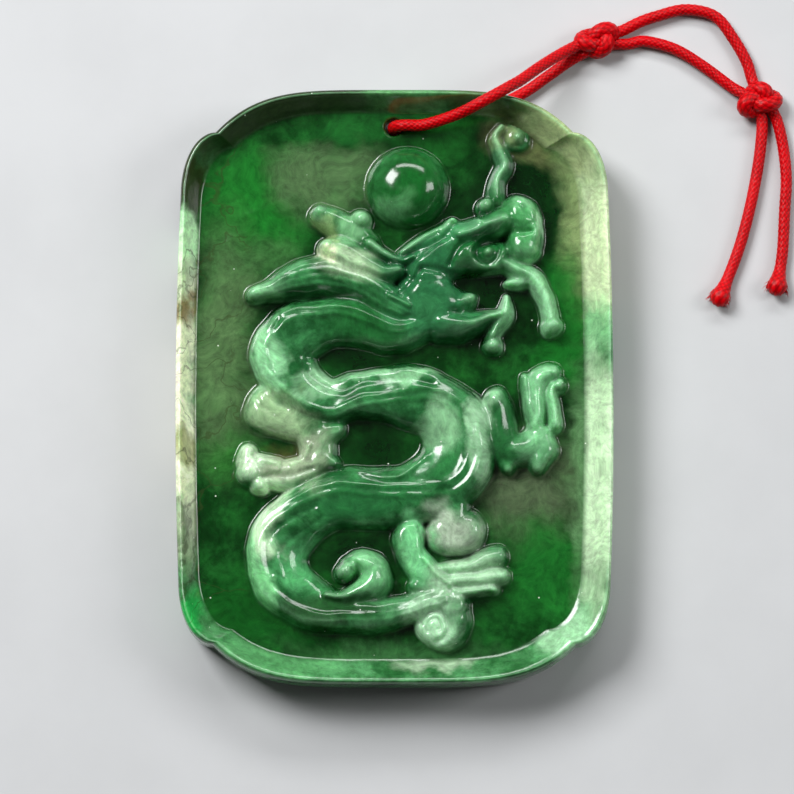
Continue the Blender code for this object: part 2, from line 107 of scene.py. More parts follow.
class NodeDesk:
    # Short ways to add and join shader nodes in one material
    def __init__(self, name):
        self.material = bpy.data.materials.new(name)
        self.material.use_nodes = True
        self.tree = self.material.node_tree
        self.shader = self.tree.nodes["Principled BSDF"]

    def add(self, kind, **settings):
        node = self.tree.nodes.new(kind)
        for key, value in settings.items():
            setattr(node, key, value)
        return node

    def put(self, socket, value):
        if isinstance(value, bpy.types.NodeSocket):
            self.tree.links.new(value, socket)
        elif isinstance(value, tuple) and len(value) == 3 and socket.type == "RGBA":
            socket.default_value = (*value, 1.0)
        else:
            socket.default_value = value

    def math(self, operation, *values):
        node = self.add("ShaderNodeMath", operation=operation)
        for socket, value in zip(node.inputs, values):
            self.put(socket, value)
        return node.outputs[0]

    def vector(self, operation, *values, out=0):
        node = self.add("ShaderNodeVectorMath", operation=operation)
        for socket, value in zip(node.inputs, values):
            self.put(socket, value)
        return node.outputs[out]

    def attribute(self, name):
        return self.add("ShaderNodeAttribute", attribute_name=name).outputs["Fac"]

    def noise(self, vector, scale, detail=2.0, roughness=0.5, colour=False):
        node = self.add("ShaderNodeTexNoise")
        for key, item in (("Vector", vector), ("Scale", scale), ("Detail", detail), ("Roughness", roughness)):
            self.put(node.inputs[key], item)
        return node.outputs["Color" if colour else "Fac"]

    def ramp(self, value, low, high, bottom=0.0, top=1.0, smooth=True):
        node = self.add("ShaderNodeMapRange", interpolation_type="SMOOTHSTEP" if smooth else "LINEAR")
        for key, item in (("Value", value), ("From Min", low), ("From Max", high), ("To Min", bottom),
                          ("To Max", top)):
            self.put(node.inputs[key], item)
        return node.outputs["Result"]

    def mix(self, share, first, second):
        # 6, 7 and 2 are the colour sockets of this node
        node = self.add("ShaderNodeMix", data_type="RGBA")
        for key, item in (("Factor", share), (6, first), (7, second)):
            self.put(node.inputs[key], item)
        return node.outputs[2]

    def bump(self, height, distance, strength):
        node = self.add("ShaderNodeBump")
        for key, item in (("Height", height), ("Distance", distance), ("Strength", strength)):
            self.put(node.inputs[key], item)
        return node.outputs["Normal"]

    def fill(self, inputs):
        # Give the material's shader its values and links
        for key, item in inputs.items():
            self.put(self.shader.inputs[key], item)
        return self.material


# The plaque's sizes, the same as in the solid
plaque = {
    "width": 44.0, "height": 60.2, "fieldThickness": 4.0, "rimRise": 2.4, "reliefRise": 3.7,
    "rimLeft": 2.1, "rimRight": 3.0, "rimTop": 2.2, "rimBottom": 2.8, "crestInset": 0.4,
    "notchInset": 3.9, "notchDropTop": 4.4, "notchDropBottom": 4.0,
    "lobeLength": 6.2, "sideBulge": 0.4, "shoulderPower": 4.5,
    "boreX": -0.1, "boreFromTop": 3.5, "boreRadius": 0.9, "boreMouth": 0.3,
    "backLift": 1.6, "backSlopeLength": 4.0, "backSlopeLand": 1.6,
}
hangingEdge = plaque["height"] / 2
boreX = plaque["boreX"]
boreY = hangingEdge - plaque["boreFromTop"]
mouth = plaque["boreRadius"] + plaque["boreMouth"]
field = plaque["fieldThickness"]
crest = field + plaque["rimRise"]
farAway = 9.0

# The cord: braid of two sets of strands, wound both ways round it
cord = {"diameter": 1.2, "strands": 8, "pitch": 0.62, "relief": 0.075, "alongStrand": 0.35,
        "acrossStrand": 0.8, "sides": 48, "ringSpacing": 0.1, "clearance": 0.02,
        "flareLength": 2.8, "flare": 0.70, "flarePower": 1.7, "roundEnd": 0.9, "step": 0.25,
        "colour": (0.56, 0.0, 0.003), "shade": (0.24, 0.0, 0.001), "bright": (0.70, 0.0, 0.005),
        "roughness": (0.26, 0.42), "sheenTint": (1.0, 0.35, 0.35)}


def redCord():
    desk = NodeDesk("redCord")
    braid = desk.add("ShaderNodeUVMap", uv_map="braid").outputs["UV"]
    fibres = desk.noise(desk.vector("MULTIPLY", braid, (14.0, 3.0, 1.0)), 1.0, detail=2.0)
    place = desk.add("ShaderNodeTexCoord").outputs["Object"]
    patchy = desk.noise(place, 260.0, detail=2.0)
    # painted shade: the braid is darker in the grooves between its strands, where its relief is low
    colour = desk.mix(desk.ramp(desk.attribute("relief"), 0.1, 0.85), cord["shade"], cord["colour"])
    colour = desk.mix(desk.ramp(patchy, 0.45, 0.75, 0.0, 0.3), colour, cord["bright"])
    return desk.fill({
        "Base Color": colour, "Roughness": desk.ramp(fibres, 0.3, 0.7, *cord["roughness"], smooth=False),
        "Specular IOR Level": 0.14, "Sheen Weight": 0.02, "Sheen Roughness": 0.4,
        "Sheen Tint": cord["sheenTint"], "Normal": desk.bump(fibres, 0.00003, 0.6)})


def tubeFrames(line):
    # Two directions across a line at each of its points, carried along without twist
    ahead = np.gradient(line, axis=0)
    ahead /= np.linalg.norm(ahead, axis=1)[:, None]
    aside = np.cross(ahead[0], (0.0, 0.0, 1.0))
    if np.linalg.norm(aside) < 0.2:
        aside = np.cross(ahead[0], (0.0, 1.0, 0.0))
    asides = []
    for way in ahead:
        aside = aside - way * (aside @ way)
        aside = aside / np.linalg.norm(aside)
        asides.append(aside)
    asides = np.array(asides)
    return asides, np.cross(ahead, asides)


def evenLine(line, spacing):
    # The same line, with its points at even distances
    along = np.concatenate([[0.0], np.cumsum(np.linalg.norm(np.diff(line, axis=0), axis=1))])
    count = max(4, round(along[-1] / spacing))
    wanted = np.linspace(0.0, along[-1], count + 1)
    return np.column_stack([np.interp(wanted, along, line[:, axis]) for axis in range(3)]), wanted


def braidedTube(name, line, material, radii):
    # A braided cord along the line. Each diamond of the braid is a small lump, longer along the
    # strand that lies on top there.
    line, along = evenLine(line, cord["ringSpacing"])
    radii = np.interp(along, np.linspace(0.0, along[-1], len(radii)), radii)
    # a frayed end is thicker than the cord, and still lies on the floor
    line[:, 2] = np.maximum(line[:, 2], radii + cord["clearance"])
    across, up = tubeFrames(line)
    sides = cord["sides"]
    angle = np.linspace(0.0, 2 * math.pi, sides, endpoint=False)
    turn = cord["strands"] * angle[None, :] / (2 * math.pi)
    travel = along[:, None] / cord["pitch"]
    first = turn + travel
    second = turn - travel
    firstOnTop = (np.floor(first) + np.floor(second)) % 2 == 0
    wave = np.abs(np.sin(math.pi * first))
    otherWave = np.abs(np.sin(math.pi * second))
    thin, wide = cord["acrossStrand"], cord["alongStrand"]
    relief = np.where(firstOnTop, wave ** thin * otherWave ** wide, wave ** wide * otherWave ** thin)
    reach = radii[:, None] - cord["relief"] * (1.0 - relief)
    ring = line[:, None, :] + reach[..., None] * (np.cos(angle)[None, :, None] * across[:, None, :]
                                                  + np.sin(angle)[None, :, None] * up[:, None, :])
    places = np.vstack([ring.reshape(-1, 3), line[0], line[-1]])
    index = np.arange(len(line) * sides).reshape(len(line), sides)
    after = np.roll(index, -1, axis=1)
    faces = np.stack([index[:-1], after[:-1], after[1:], index[1:]], axis=-1).reshape(-1, 4).tolist()
    low, high = len(places) - 2, len(places) - 1
    faces += [(low, b, a) for a, b in zip(index[0], after[0])]
    faces += [(high, a, b) for a, b in zip(index[-1], after[-1])]
    piece = addPiece(name, places, [tuple(int(i) for i in face) for face in faces], material)
    values = np.concatenate([relief.ravel(), [0.5, 0.5]]).astype(np.float32)
    piece.data.attributes.new("relief", "FLOAT", "POINT").data.foreach_set("value", values)
    layer = piece.data.uv_layers.new(name="braid")
    corners = np.zeros(len(piece.data.loops), np.int32)
    piece.data.loops.foreach_get("vertex_index", corners)
    where = np.vstack([np.column_stack([first.ravel(), second.ravel()]), [[0, 0], [0, 0]]])
    layer.data.foreach_set("uv", where[corners].astype(np.float32).ravel())
    return piece


# The cord's route. y is counted from the plaque's hanging edge, and a point without a height lies on
# the floor.
radius = cord["diameter"] / 2
lying = radius + cord["clearance"]
overField = field + 0.3 + radius
overRim = crest + 0.4 + radius
bend = cord["diameter"]
route = {
    "front": [(boreX, -3.5, 2.8), (boreX, -3.5, overField - bend),
              (boreX + 0.3 * bend, -3.5, overField - 0.3 * bend), (boreX + bend, -3.5, overField),
              (2.8, -3.5, overField + 0.1), (4.8, -3.1, overField + 0.8), (6.8, -2.5, overRim - 0.8),
              (8.6, -1.7, overRim), (10.4, -0.7, overRim), (11.6, 0.1, 6.8), (12.7, 0.9, 5.9),
              (14.7, 2.6, 4.4), (16.6, 4.1, 2.9), (17.9, 5, 2), (19.6, 5.9, 1.5), (21.8, 6.6, 1), (23.5, 7.3),
              (25.1, 8.1), (26.8, 8.7), (29.8, 9.4), (32.8, 8.7), (34.7, 6.3), (36, 3.9), (36.5, 2.2),
              (37.2, 0.3, 1.1), (38.3, -1, 1), (39, -2.1), (39.6, -4.8), (39.9, -8.1), (39.7, -11.5),
              (39.4, -16), (38.7, -19.9)],
    "back": [(boreX, -3.5, 2.8), (boreX, -3.5, lying + bend), (boreX + 0.3 * bend, -3.5, lying + 0.3 * bend),
             (boreX + bend, -3.5), (3.5, -2.9), (8, -1.7), (12.8, 0.5), (15.6, 2.4), (18, 4.1, lying + 0.1),
             (20, 5.1, 0.9), (22, 5.7, 0.8), (23.9, 5.8), (25.6, 6.1), (28.6, 5.3), (31.4, 3.6), (34.3, 1.4),
             (35.8, 0.4, 1), (37, -0.9, 1), (37.5, -2.4), (37.1, -6.5), (36.1, -11.5), (34.8, -16),
             (32.8, -21)],
}

# The two knots: outer length, width and thickness, and how hard the cord is pressed; then each knot's
# middle, which way its length points in degrees from X, and which hand it is tied with
knots = {
    "outer": (4.9, 3.5, 2.6), "pressed": 1.4, "steps": 240,
    "knotNearPlaque": {"middle": (20.8, 5.9), "turn": 18, "hand": 1},
    "knotNearTails": {"middle": (37.1, 0), "turn": 15, "hand": -1},
}


def cordLine(points):
    line = smoothRoute([point if len(point) == 3 else (*point, lying) for point in points],
                       cord["step"])
    return line + np.array([0.0, hangingEdge, 0.0])


def flaredRadii(line):
    # The braid opens towards its cut end, and its end is round
    length = np.linalg.norm(np.diff(line, axis=0), axis=1).sum()
    left = length * (1 - np.linspace(0.0, 1.0, 1500))
    opening = np.clip(1 - left / cord["flareLength"], 0.0, 1.0)
    closing = np.sqrt(np.clip(1 - (1 - np.clip(left / cord["roundEnd"], 0.0, 1.0)) ** 2, 0.0, 1.0))
    return (cord["diameter"] / 2 + cord["flare"] * opening ** cord["flarePower"]) * (0.25 + 0.75 * closing)


def makeKnot(name, material):
    # An overhand knot, drawn tight: the cord goes round in three lobes, over and under itself
    facts = knots[name]
    x, y = facts["middle"]
    reach = cord["diameter"] / 2 * knots["pressed"]
    t = np.linspace(0.0, 2 * math.pi, knots["steps"]) + math.pi / 6
    loop = np.column_stack([np.sin(t) + 2 * np.sin(2 * t), np.cos(t) - 2 * np.cos(2 * t), -np.sin(3 * t)])
    loop -= (loop.max(axis=0) + loop.min(axis=0)) / 2
    outer = np.array(knots["outer"]) / 2 - reach
    loop *= outer / loop.max(axis=0)
    loop[:, 1] *= facts["hand"]
    spin = np.array(Matrix.Rotation(math.radians(facts["turn"]), 3, "Z"))
    line = loop @ spin.T + np.array([x, hangingEdge + y, knots["outer"][2] / 2 + cord["clearance"]])
    return braidedTube(name, line, material, np.full(4, reach))


tuft = {"fibres": 520, "reach": 1.15, "length": (0.25, 0.75), "thickness": 0.035}


def makeTuft(name, line, material, seed):
    # Loose fibres at a cut end, each a thin tapering strand
    rng = np.random.default_rng(seed)
    ahead = line[-1] - line[-6]
    ahead /= np.linalg.norm(ahead)
    across = np.cross(ahead, (0.0, 0.0, 1.0))
    across /= np.linalg.norm(across)
    up = np.cross(across, ahead)
    places = []
    faces = []
    for _ in range(tuft["fibres"]):
        turn = rng.uniform(0.0, 2 * math.pi)
        out = across * math.cos(turn) + up * math.sin(turn)
        spread = tuft["reach"] * math.sqrt(rng.uniform(0.05, 1.0))
        start = line[-1] - ahead * rng.uniform(0.5, 1.3) + out * spread * 0.8
        fan = ahead + out * rng.uniform(0.1, 0.7) + rng.normal(0.0, 0.14, 3)
        stop = start + fan * rng.uniform(*tuft["length"])
        side = np.cross(stop - start, up + 0.3 * across)
        side *= tuft["thickness"] / np.linalg.norm(side)
        other = np.cross(stop - start, side)
        other *= tuft["thickness"] / np.linalg.norm(other)
        first = len(places)
        for point, width in ((start, 1.0), ((start + stop) / 2 + out * 0.06, 0.8), (stop, 0.35)):
            point = point + np.array([0.0, 0.0, max(0.0, 0.05 - point[2])])
            places += [point + side * width, point - side * 0.5 * width + other * 0.87 * width,
                       point - side * 0.5 * width - other * 0.87 * width]
        for ring in (first, first + 3):
            faces += [(ring + k, ring + (k + 1) % 3, ring + 3 + (k + 1) % 3, ring + 3 + k) for k in range(3)]
        faces += [(first, first + 2, first + 1), (first + 6, first + 7, first + 8)]
    piece = addPiece(name, places, faces, material)
    piece.data.attributes.new("relief", "FLOAT", "POINT").data.foreach_set(
        "value", np.full(len(places), 0.9, np.float32))
    piece.data.uv_layers.new(name="braid")
    return piece


red = redCord()
lineOut = cordLine(route["front"])
lineBack = cordLine(route["back"])
cordFront = braidedTube("cordFront", lineOut, red, flaredRadii(lineOut))
cordBack = braidedTube("cordBack", lineBack, red, flaredRadii(lineBack))
knotNearPlaque = makeKnot("knotNearPlaque", red)
knotNearTails = makeKnot("knotNearTails", red)
tuftRight = makeTuft("tuftRight", lineOut, red, 3)
tuftLeft = makeTuft("tuftLeft", lineBack, red, 5)
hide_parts("cord_through_bore", "cord_outer_run", "tail_right")
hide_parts("cord_through_bore", "cord_inner_run", "tail_left")
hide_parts("knot_by_plaque")
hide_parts("knot_at_tails")


def lengthOf(line):
    return float(np.linalg.norm(np.diff(line, axis=0), axis=1).sum()) * mm


print("cord laid,", round(lengthOf(lineOut) * 1000), "and", round(lengthOf(lineBack) * 1000), "mm")

# The carving is worked on a sheet of small cells over the plaque. Each stroke is a rounded ridge:
# points (x, y, half width, lean) along its middle, its rise as a share of the relief, how full its
# section is, and the strands that it is combed into, with the depth between them.
sheet = {"cell": 0.08, "softness": 0.13, "width": 43.6, "height": 59.8, "spanX": 22.4, "spanY": 30.4,
         "strokeStep": 0.35, "strokeReach": 1.05, "lineStep": 0.3, "lineReach": 2.5}
stretch = np.array([plaque["width"] / sheet["width"], plaque["height"] / sheet["height"], 1.0, 1.0])
sheetX, sheetY = (np.arange(-span, span + sheet["cell"] / 2, sheet["cell"])
                  for span in (sheet["spanX"], sheet["spanY"]))


def stroke(route, rise, fullness=2.6, strands=0, combing=0.0, dish=0.0, keel=0.0, ridges=()):
    # The fourth value of a point, its lean, is nothing where it isn't given
    padded = [(*point, *([0.0] * (4 - len(point)))) for point in route]
    return {"route": padded, "rise": rise, "fullness": fullness, "strands": strands, "combing": combing,
            "dish": dish, "keel": keel, "ridges": ridges}


pearl = (1.3, 20.1, 4.15)
carving = [
    # pearl
    stroke([pearl], 0.82),
    # body
    stroke([(3.4, 6.4, 1.3), (0.6, 5.2, 1.9), (-2.4, 6, 2.2, -0.04), (-6, 6.4, 2.6, -0.1),
           (-9.5, 5.4, 3.1, -0.2), (-11.1, 3.1, 3.2, -0.22), (-9.8, 0.4, 3, -0.22), (-6.7, -1.5, 2.2, -0.2),
           (-3.3, -1, 2.4, -0.1), (0.6, -0.9, 3, 0.04), (4.4, -2.2, 3.4, 0.16), (6.5, -5.2, 3.8, 0.22),
           (5.5, -8.8, 3.6, 0.2), (2.1, -10.8, 3.2, 0.06), (-2.5, -11.2, 3.1, -0.04), (-7, -11.8, 3, -0.1),
           (-10.2, -14, 3.1, -0.2), (-11.6, -17.2, 3.1, -0.24), (-10.5, -20.2, 3, -0.22),
           (-7.3, -22.1, 2.4, -0.14), (-3.3, -23.1, 1.7), (0.8, -22.4, 1.6), (4.1, -21.5, 1.7)], 0.7, 3.4,
           dish=0.1, ridges=(-0.28, 0)),
    # the curl, and the disc at the tail's end
    stroke([(-7, -20.9, 0.5), (-5.2, -21.2, 0.9), (-3.4, -20.7, 1.5), (-2.2, -19.6, 1.9), (-2.4, -18.4, 1.8),
           (-3.5, -17.9, 1.3), (-4.6, -18.1, 1)], 0.72, 2.8, keel=0.2),
    stroke([(-5, -18.7, 1.05)], 0.8, 2.4),
    stroke([(4.8, -23.4, 3)], 0.62, 4.4, dish=0.08),
    stroke([(5.9, -22, 1.7)], 0.62, 3.6),
    # left foot
    stroke([(-12.7, -2.2, 2.4), (-10.8, -3, 2.5), (-8.8, -3.6, 2.2)], 0.52, 3.2, dish=0.05),
    stroke([(-8.4, -3.9, 1.9), (-7.6, -5.7, 2), (-7.5, -7.4, 1.8)], 0.54, 4.2, dish=0.12),
    stroke([(-7.2, -7.4, 1.5), (-6, -7.9, 0.8)], 0.54, 3.4),
    stroke([(-7, -4.9, 1.6), (-5.7, -4.4, 1)], 0.52, 3.4),
    stroke([(-7.8, -7.8, 1.5), (-9.4, -8.7, 1.6), (-11.4, -9.1, 1.5), (-13.2, -8.9, 1.5)], 0.56, 3.4,
           dish=0.15, keel=0.2),
    stroke([(-14.4, -8.8, 1.5)], 0.64, 3),
    stroke([(-13.5, -10.1, 1.05)], 0.6, 2.8),
    stroke([(-14.4, -6.5, 0.9), (-14.6, -7.7, 1.3)], 0.52, 3),
    stroke([(-14, -7.8, 1.2), (-11.6, -8.4, 1.2)], 0.55, 3, keel=0.3),
    # right arm and claw
    stroke([(9.9, -1.4, 1.3), (10.4, -3.2, 1.5), (10.8, -5.2, 1.6), (11.4, -6.8, 1.8)], 0.54, 3, keel=0.2),
    stroke([(11.3, -7.3, 1.5), (11.2, -8.4, 0.8)], 0.48, 2.8),
    stroke([(11.6, -6.8, 1.6), (13.4, -6.3, 1.7), (14.2, -5.4, 1.6)], 0.54, 3, keel=0.2),
    stroke([(14.4, -5, 1.3), (14.8, -6.3, 1.6)], 0.6, 2.8, dish=0.08),
    stroke([(14.7, -7, 1.2), (14.3, -8, 0.95)], 0.56, 2.8),
    stroke([(13.4, -3.4, 0.6), (13.1, -1, 0.6), (13.1, 0.9, 0.45)], 0.42, keel=0.3),
    stroke([(13.9, -4.2, 0.9), (14.1, -1.8, 1), (14.3, 0.1, 1.2), (14.9, 1.1, 1.2), (15.8, 1.3, 0.95)], 0.62,
           2.8, dish=0.1, keel=0.2),
    stroke([(15.8, -3.9, 0.75), (15.7, -2.4, 0.75), (15.6, -0.9, 0.7), (15.9, 0.1, 0.6)], 0.57, 2.8,
           keel=0.3),
    stroke([(16.5, 0.1, 0.75)], 0.6, 2.8),
    # haunch, leg and foot
    stroke([(5.4, -14.8, 2.35), (7, -14.5, 2.2)], 0.62, 3.4, dish=0.08),
    stroke([(5.5, -11.4, 2), (5.6, -13.4, 2)], 0.58, 3.4),
    stroke([(1.5, -15, 1.6), (1.8, -16.8, 1.5), (2.9, -18.5, 1.6), (4.4, -20, 1.5)], 0.66, 3.6, dish=0.12),
    stroke([(2.2, -20, 1), (4.2, -20.9, 0.9)], 0.56, 3),
    stroke([(4, -18.7, 0.7), (6.8, -18.2, 0.95), (9.1, -17.2, 1.1), (10.2, -17.1, 1.05)], 0.56, 3, dish=0.1,
           keel=0.2),
    stroke([(4.6, -19.8, 0.8), (7.4, -19.4, 0.95), (9.5, -19.1, 1.05), (10.4, -19.1, 0.95)], 0.6, 3, dish=0.1,
           keel=0.2),
    stroke([(5.6, -20.8, 0.6), (7.7, -20.5, 0.7), (9.2, -20.2, 0.65), (9.9, -20.4, 0.5)], 0.52, keel=0.3),
    # mane with its locks
    stroke([(-14.1, 9.2, 0.9), (-12, 9.6, 1.3), (-9.4, 10.7, 1.9), (-6.9, 11.3, 2.2), (-4.4, 10.5, 2.1),
           (-1.6, 9.2, 2), (0.8, 7.8, 1.8)], 0.8, 3, 6, 0.28),
    stroke([(-7.3, 17.2, 1.2), (-5.6, 16.2, 1.5), (-3.9, 15.3, 1.5), (-2.4, 14.4, 1)], 0.56, 2.8, dish=0.1),
    stroke([(-7.4, 17.5, 0.8)], 0.66, 2.4),
    stroke([(-3.4, 16.7, 1.15)], 0.7, 2.4),
    stroke([(-6.7, 13.9, 1.2), (-5, 13.3, 1.6), (-3, 12.1, 1.6), (-1, 11.3, 1.1), (0.6, 11.6, 0.7)], 0.9, 3,
           4, 0.16),
    stroke([(-6.8, 14, 1.05)], 0.99, 2.4),
    stroke([(-2.5, 14.1, 0.8), (-1.2, 13.2, 0.8), (0.4, 12.6, 0.6), (2, 12.8, 0.5)], 0.82),
    stroke([(0.7, 13.3, 0.5), (2.7, 14.3, 0.9), (4.8, 15.4, 0.9), (5.8, 16.5, 0.5)], 0.8, 2.8),
    # head, snout, eye and jaw
    stroke([(3.4, 8.6, 3.7)], 0.88, 3, dish=0.06),
    stroke([(3.6, 11.8, 2.7), (6.4, 13.6, 2.7)], 0.92, 3.2, dish=0.06),
    stroke([(6.4, 15, 1.6), (8.4, 15.6, 1.5), (10.8, 16.4, 1.6)], 0.88, 2.8, keel=0.3),
    stroke([(7.6, 12.7, 1.8), (10.2, 12.9, 1.7)], 0.74, 3),
    stroke([(4.4, 6.4, 2.1), (7.2, 6.2, 1.6), (10.4, 6.9, 0.7)], 0.7, 2.8, keel=0.3),
    stroke([(6.2, 8.2, 1.3), (7.4, 8.9, 0.9)], 0.6, keel=0.2),
    stroke([(12.5, 17.2, 1.9), (12.9, 15.6, 1.9), (12.7, 14, 1.7)], 0.88, 3.8, dish=0.08),
    stroke([(12.6, 17.2, 2.2)], 0.98, 3.2, dish=0.06),
    stroke([(12.8, 13.7, 1.7)], 0.86, 3),
    stroke([(9.4, 13.4, 0.85)], 0.92, 2.4),
    stroke([(9, 17.9, 0.95)], 0.9, 2.4),
    # whiskers, and the feeler with its ball
    stroke([(10.6, 12.6, 0.9), (12, 11.6, 1), (13.8, 10.8, 1.1), (14.9, 9.4, 1), (15.4, 7.8, 0.9),
           (15.4, 6.6, 0.8)], 0.62, keel=0.3),
    stroke([(15.5, 6, 1.15)], 0.64, 2.4),
    stroke([(11.2, 10.2, 0.5), (12.6, 10.2, 0.7), (13.6, 10.4, 0.5)], 0.5),
    stroke([(11, 8.8, 0.4), (10.9, 7.2, 0.9), (10.2, 5.8, 0.8), (9.8, 4.8, 0.8)], 0.58, 2.4, keel=0.3),
    stroke([(9.9, 3.9, 1.05)], 0.6, 2.4),
    stroke([(10, 18.6, 1), (10.4, 20.6, 0.85), (11.1, 22.1, 0.85), (10.5, 23.7, 0.75), (9.9, 25.1, 0.6),
           (10.6, 26.2, 0.5)], 0.48, 2.4, keel=0.4),
    stroke([(12, 25.1, 1.6)], 0.46, 3.2, dish=0.2),
    stroke([(12.1, 25, 0.7)], 0.52, 2.4),
]


def arc(x, y, reach, halfWidth, start, stop, count):
    return [(x + reach * math.cos(turn), y + reach * math.sin(turn), halfWidth)
            for turn in np.linspace(start, stop, count)]


# Lines drawn into the carved forms: points (x, y, half width), and the depth. A depth below zero
# stands up as a ridge.
lines = [
    # the spirals of the curl and of the tail's disc
    ([(-5.8, -20.1, 0.35), (-4.7, -20, 0.4), (-3.8, -19.3, 0.4), (-3.8, -18.3, 0.35), (-4.6, -17.6, 0.3)],
      0.55),
    ([(-0.9, -17.6, 0.3), (-1.4, -16.8, 0.3), (-3.2, -16.5, 0.3)], -0.15),
    (arc(4, -24.2, 1.4, 0.36, 2.9, -1.3, 13), 0.4),
    (arc(3.9, -24.2, 0.7, 0.26, 3.9, -0.5, 10), 0.28),
    ([(10.8, 24.4, 0.3), (11, 25.6, 0.3), (12.1, 26.2, 0.3), (13, 25.4, 0.3), (12.7, 24.3, 0.25),
      (11.8, 24.1, 0.25)], 0.25),
    # the eye's ring and the hollow round it
    (arc(9.4, 13.4, 1.15, 0.28, 0, 2 * math.pi, 17), 0.35),
    (arc(9.4, 13.4, 1.75, 0.35, 0.6, 5.2, 13), -0.2),
    # cheek, mouth, brow and the hair behind them
    ([(0.6, 9.1, 0.4), (1.6, 9.9, 0.5), (2.6, 11.4, 0.3)], 0.45),
    ([(2.6, 11.6, 0.4), (4.6, 11.2, 0.5), (6.2, 10.6, 0.6), (7.4, 9.8, 0.6)], 0.4),
    ([(6.4, 10.4, 0.6), (8.4, 10.6, 1), (10.4, 10.9, 0.7)], 1.7),
    ([(8.6, 8.6, 0.6), (9.8, 9.2, 0.9), (10.6, 9.6, 0.6)], 1.2),
    ([(5.6, 11.8, 0.35), (6.3, 13.6, 0.45), (7.6, 14.6, 0.45), (9.4, 15.4, 0.4)], 0.45),
    ([(5.2, 16.6, 0.3), (6.4, 16.4, 0.4), (7.8, 16.6, 0.4), (8.4, 16.2, 0.3)], -0.35),
    ([(11, 15.3, 0.4), (12.2, 15.1, 0.45), (13.4, 15.4, 0.3)], 0.45),
    ([(11.6, 18.4, 0.3), (12.6, 18, 0.35), (13.4, 16.9, 0.3)], 0.2),
    ([(5.6, 7.4, 0.3), (7.4, 6.9, 0.35), (9.8, 7.2, 0.3)], 0.3),
    ([(0.9, 12.8, 0.3), (2.4, 14, 0.4), (4.2, 15.1, 0.35)], 0.3),
    ([(1.8, 12.4, 0.3), (3.2, 13.4, 0.35), (5, 14.6, 0.3)], 0.25),
    ([(-0.6, 8.9, 0.3), (0.6, 8.5, 0.45), (1.4, 7.8, 0.3)], -0.4),
    # lips and creases along the body
    ([(-8.3, 2.2, 0.4), (-7, 0.7, 0.45), (-5.4, 0.3, 0.5), (-2.6, 1.4, 0.5), (1, 1.6, 0.5), (4.6, 0.9, 0.4)],
      -0.22),
    ([(-8.8, 3.4, 0.35), (-8.1, 1, 0.45), (-5.6, -0.7, 0.5), (-2.6, 0.4, 0.5), (1, 0.6, 0.5), (4, -0.1, 0.4)],
      0.2),
    ([(3, -7.2, 0.7)], -0.5),
    ([(2.6, -7.8, 0.4), (1.2, -8.8, 0.45), (0, -9.3, 0.4), (-2.6, -8.8, 0.4), (-4.8, -8.4, 0.3)], -0.3),
    ([(-11.6, 6.6, 0.35), (-12.3, 4.2, 0.4), (-12, 1.4, 0.35)], 0.16),
    ([(-8, -12.2, 0.35), (-10.6, -13.6, 0.4), (-12.4, -16, 0.4), (-12.3, -19, 0.35)], 0.16),
    ([(-7.4, -13.4, 0.35), (-9.6, -14.9, 0.4), (-11, -17, 0.4), (-10.6, -19.4, 0.35)], 0.14),
    # creases on the legs and feet
    ([(3, -17.4, 0.25), (3.8, -18.5, 0.35), (4.6, -19.5, 0.35), (5.8, -20.5, 0.25)], -0.3),
    ([(2.4, -14.4, 0.3), (2.9, -15.8, 0.4), (3, -17, 0.3)], 0.3),
    ([(-14, -0.9, 0.3), (-13.4, -2, 0.3), (-12.2, -3, 0.25)], 0.12),
    ([(-13.2, -0.6, 0.3), (-12.4, -1.6, 0.3), (-10.8, -2.6, 0.25)], 0.12),
    ([(-8.4, -6, 0.3), (-8.9, -7.2, 0.45), (-10, -7.9, 0.3)], -0.3),
    ([(-8, -8.2, 0.3), (-9.6, -8.8, 0.4), (-11.6, -9.2, 0.4), (-13, -9.4, 0.3)], 0.3),
    ([(-13.9, -7, 0.3), (-13.2, -8, 0.4), (-11.6, -8.4, 0.3)], 0.3),
    # clouds scratched on the bare field
    ([(-15.4, 17.3, 0.3), (-13.2, 17.7, 0.35), (-11.4, 17.6, 0.35), (-10.5, 18, 0.35), (-10.4, 18.9, 0.3),
      (-10.1, 19.4, 0.25)], -0.05),
    ([(-16.6, 14.8, 0.3), (-15.9, 15.5, 0.35), (-13.9, 15.2, 0.35), (-13.2, 14.6, 0.3)], -0.05),
]


def tracePath(line, reach):
    # For each cell: how far it is from the line in half widths, how far to one side, and the lean
    share = np.full((len(sheetY), len(sheetX)), farAway)
    side = np.zeros_like(share)
    lean = np.zeros_like(share)
    for start, stop in zip(line[:-1], line[1:]) if len(line) > 1 else [(line[0], line[0])]:
        far = max(start[2], stop[2]) * reach
        left, right = np.searchsorted(sheetX, [min(start[0], stop[0]) - far, max(start[0], stop[0]) + far])
        low, high = np.searchsorted(sheetY, [min(start[1], stop[1]) - far, max(start[1], stop[1]) + far])
        x = sheetX[None, left:right] - start[0]
        y = sheetY[low:high, None] - start[1]
        spanX, spanY = stop[0] - start[0], stop[1] - start[1]
        square = spanX ** 2 + spanY ** 2
        if square == 0:
            t = np.zeros((y.shape[0], x.shape[1]))
            spanX, square = 1.0, 1.0
        else:
            t = np.clip((x * spanX + y * spanY) / square, 0.0, 1.0)
        width = start[2] + t * (stop[2] - start[2])
        away = np.hypot(x - t * spanX, y - t * spanY) / width
        window = (slice(low, high), slice(left, right))
        nearer = away < share[window]
        share[window][nearer] = away[nearer]
        side[window][nearer] = ((spanX * y - spanY * x) / (math.sqrt(square) * width))[nearer]
        if len(start) > 3:
            lean[window][nearer] = (start[3] + t * (stop[3] - start[3]))[nearer]
    return share, np.clip(side, -1.0, 1.0), lean


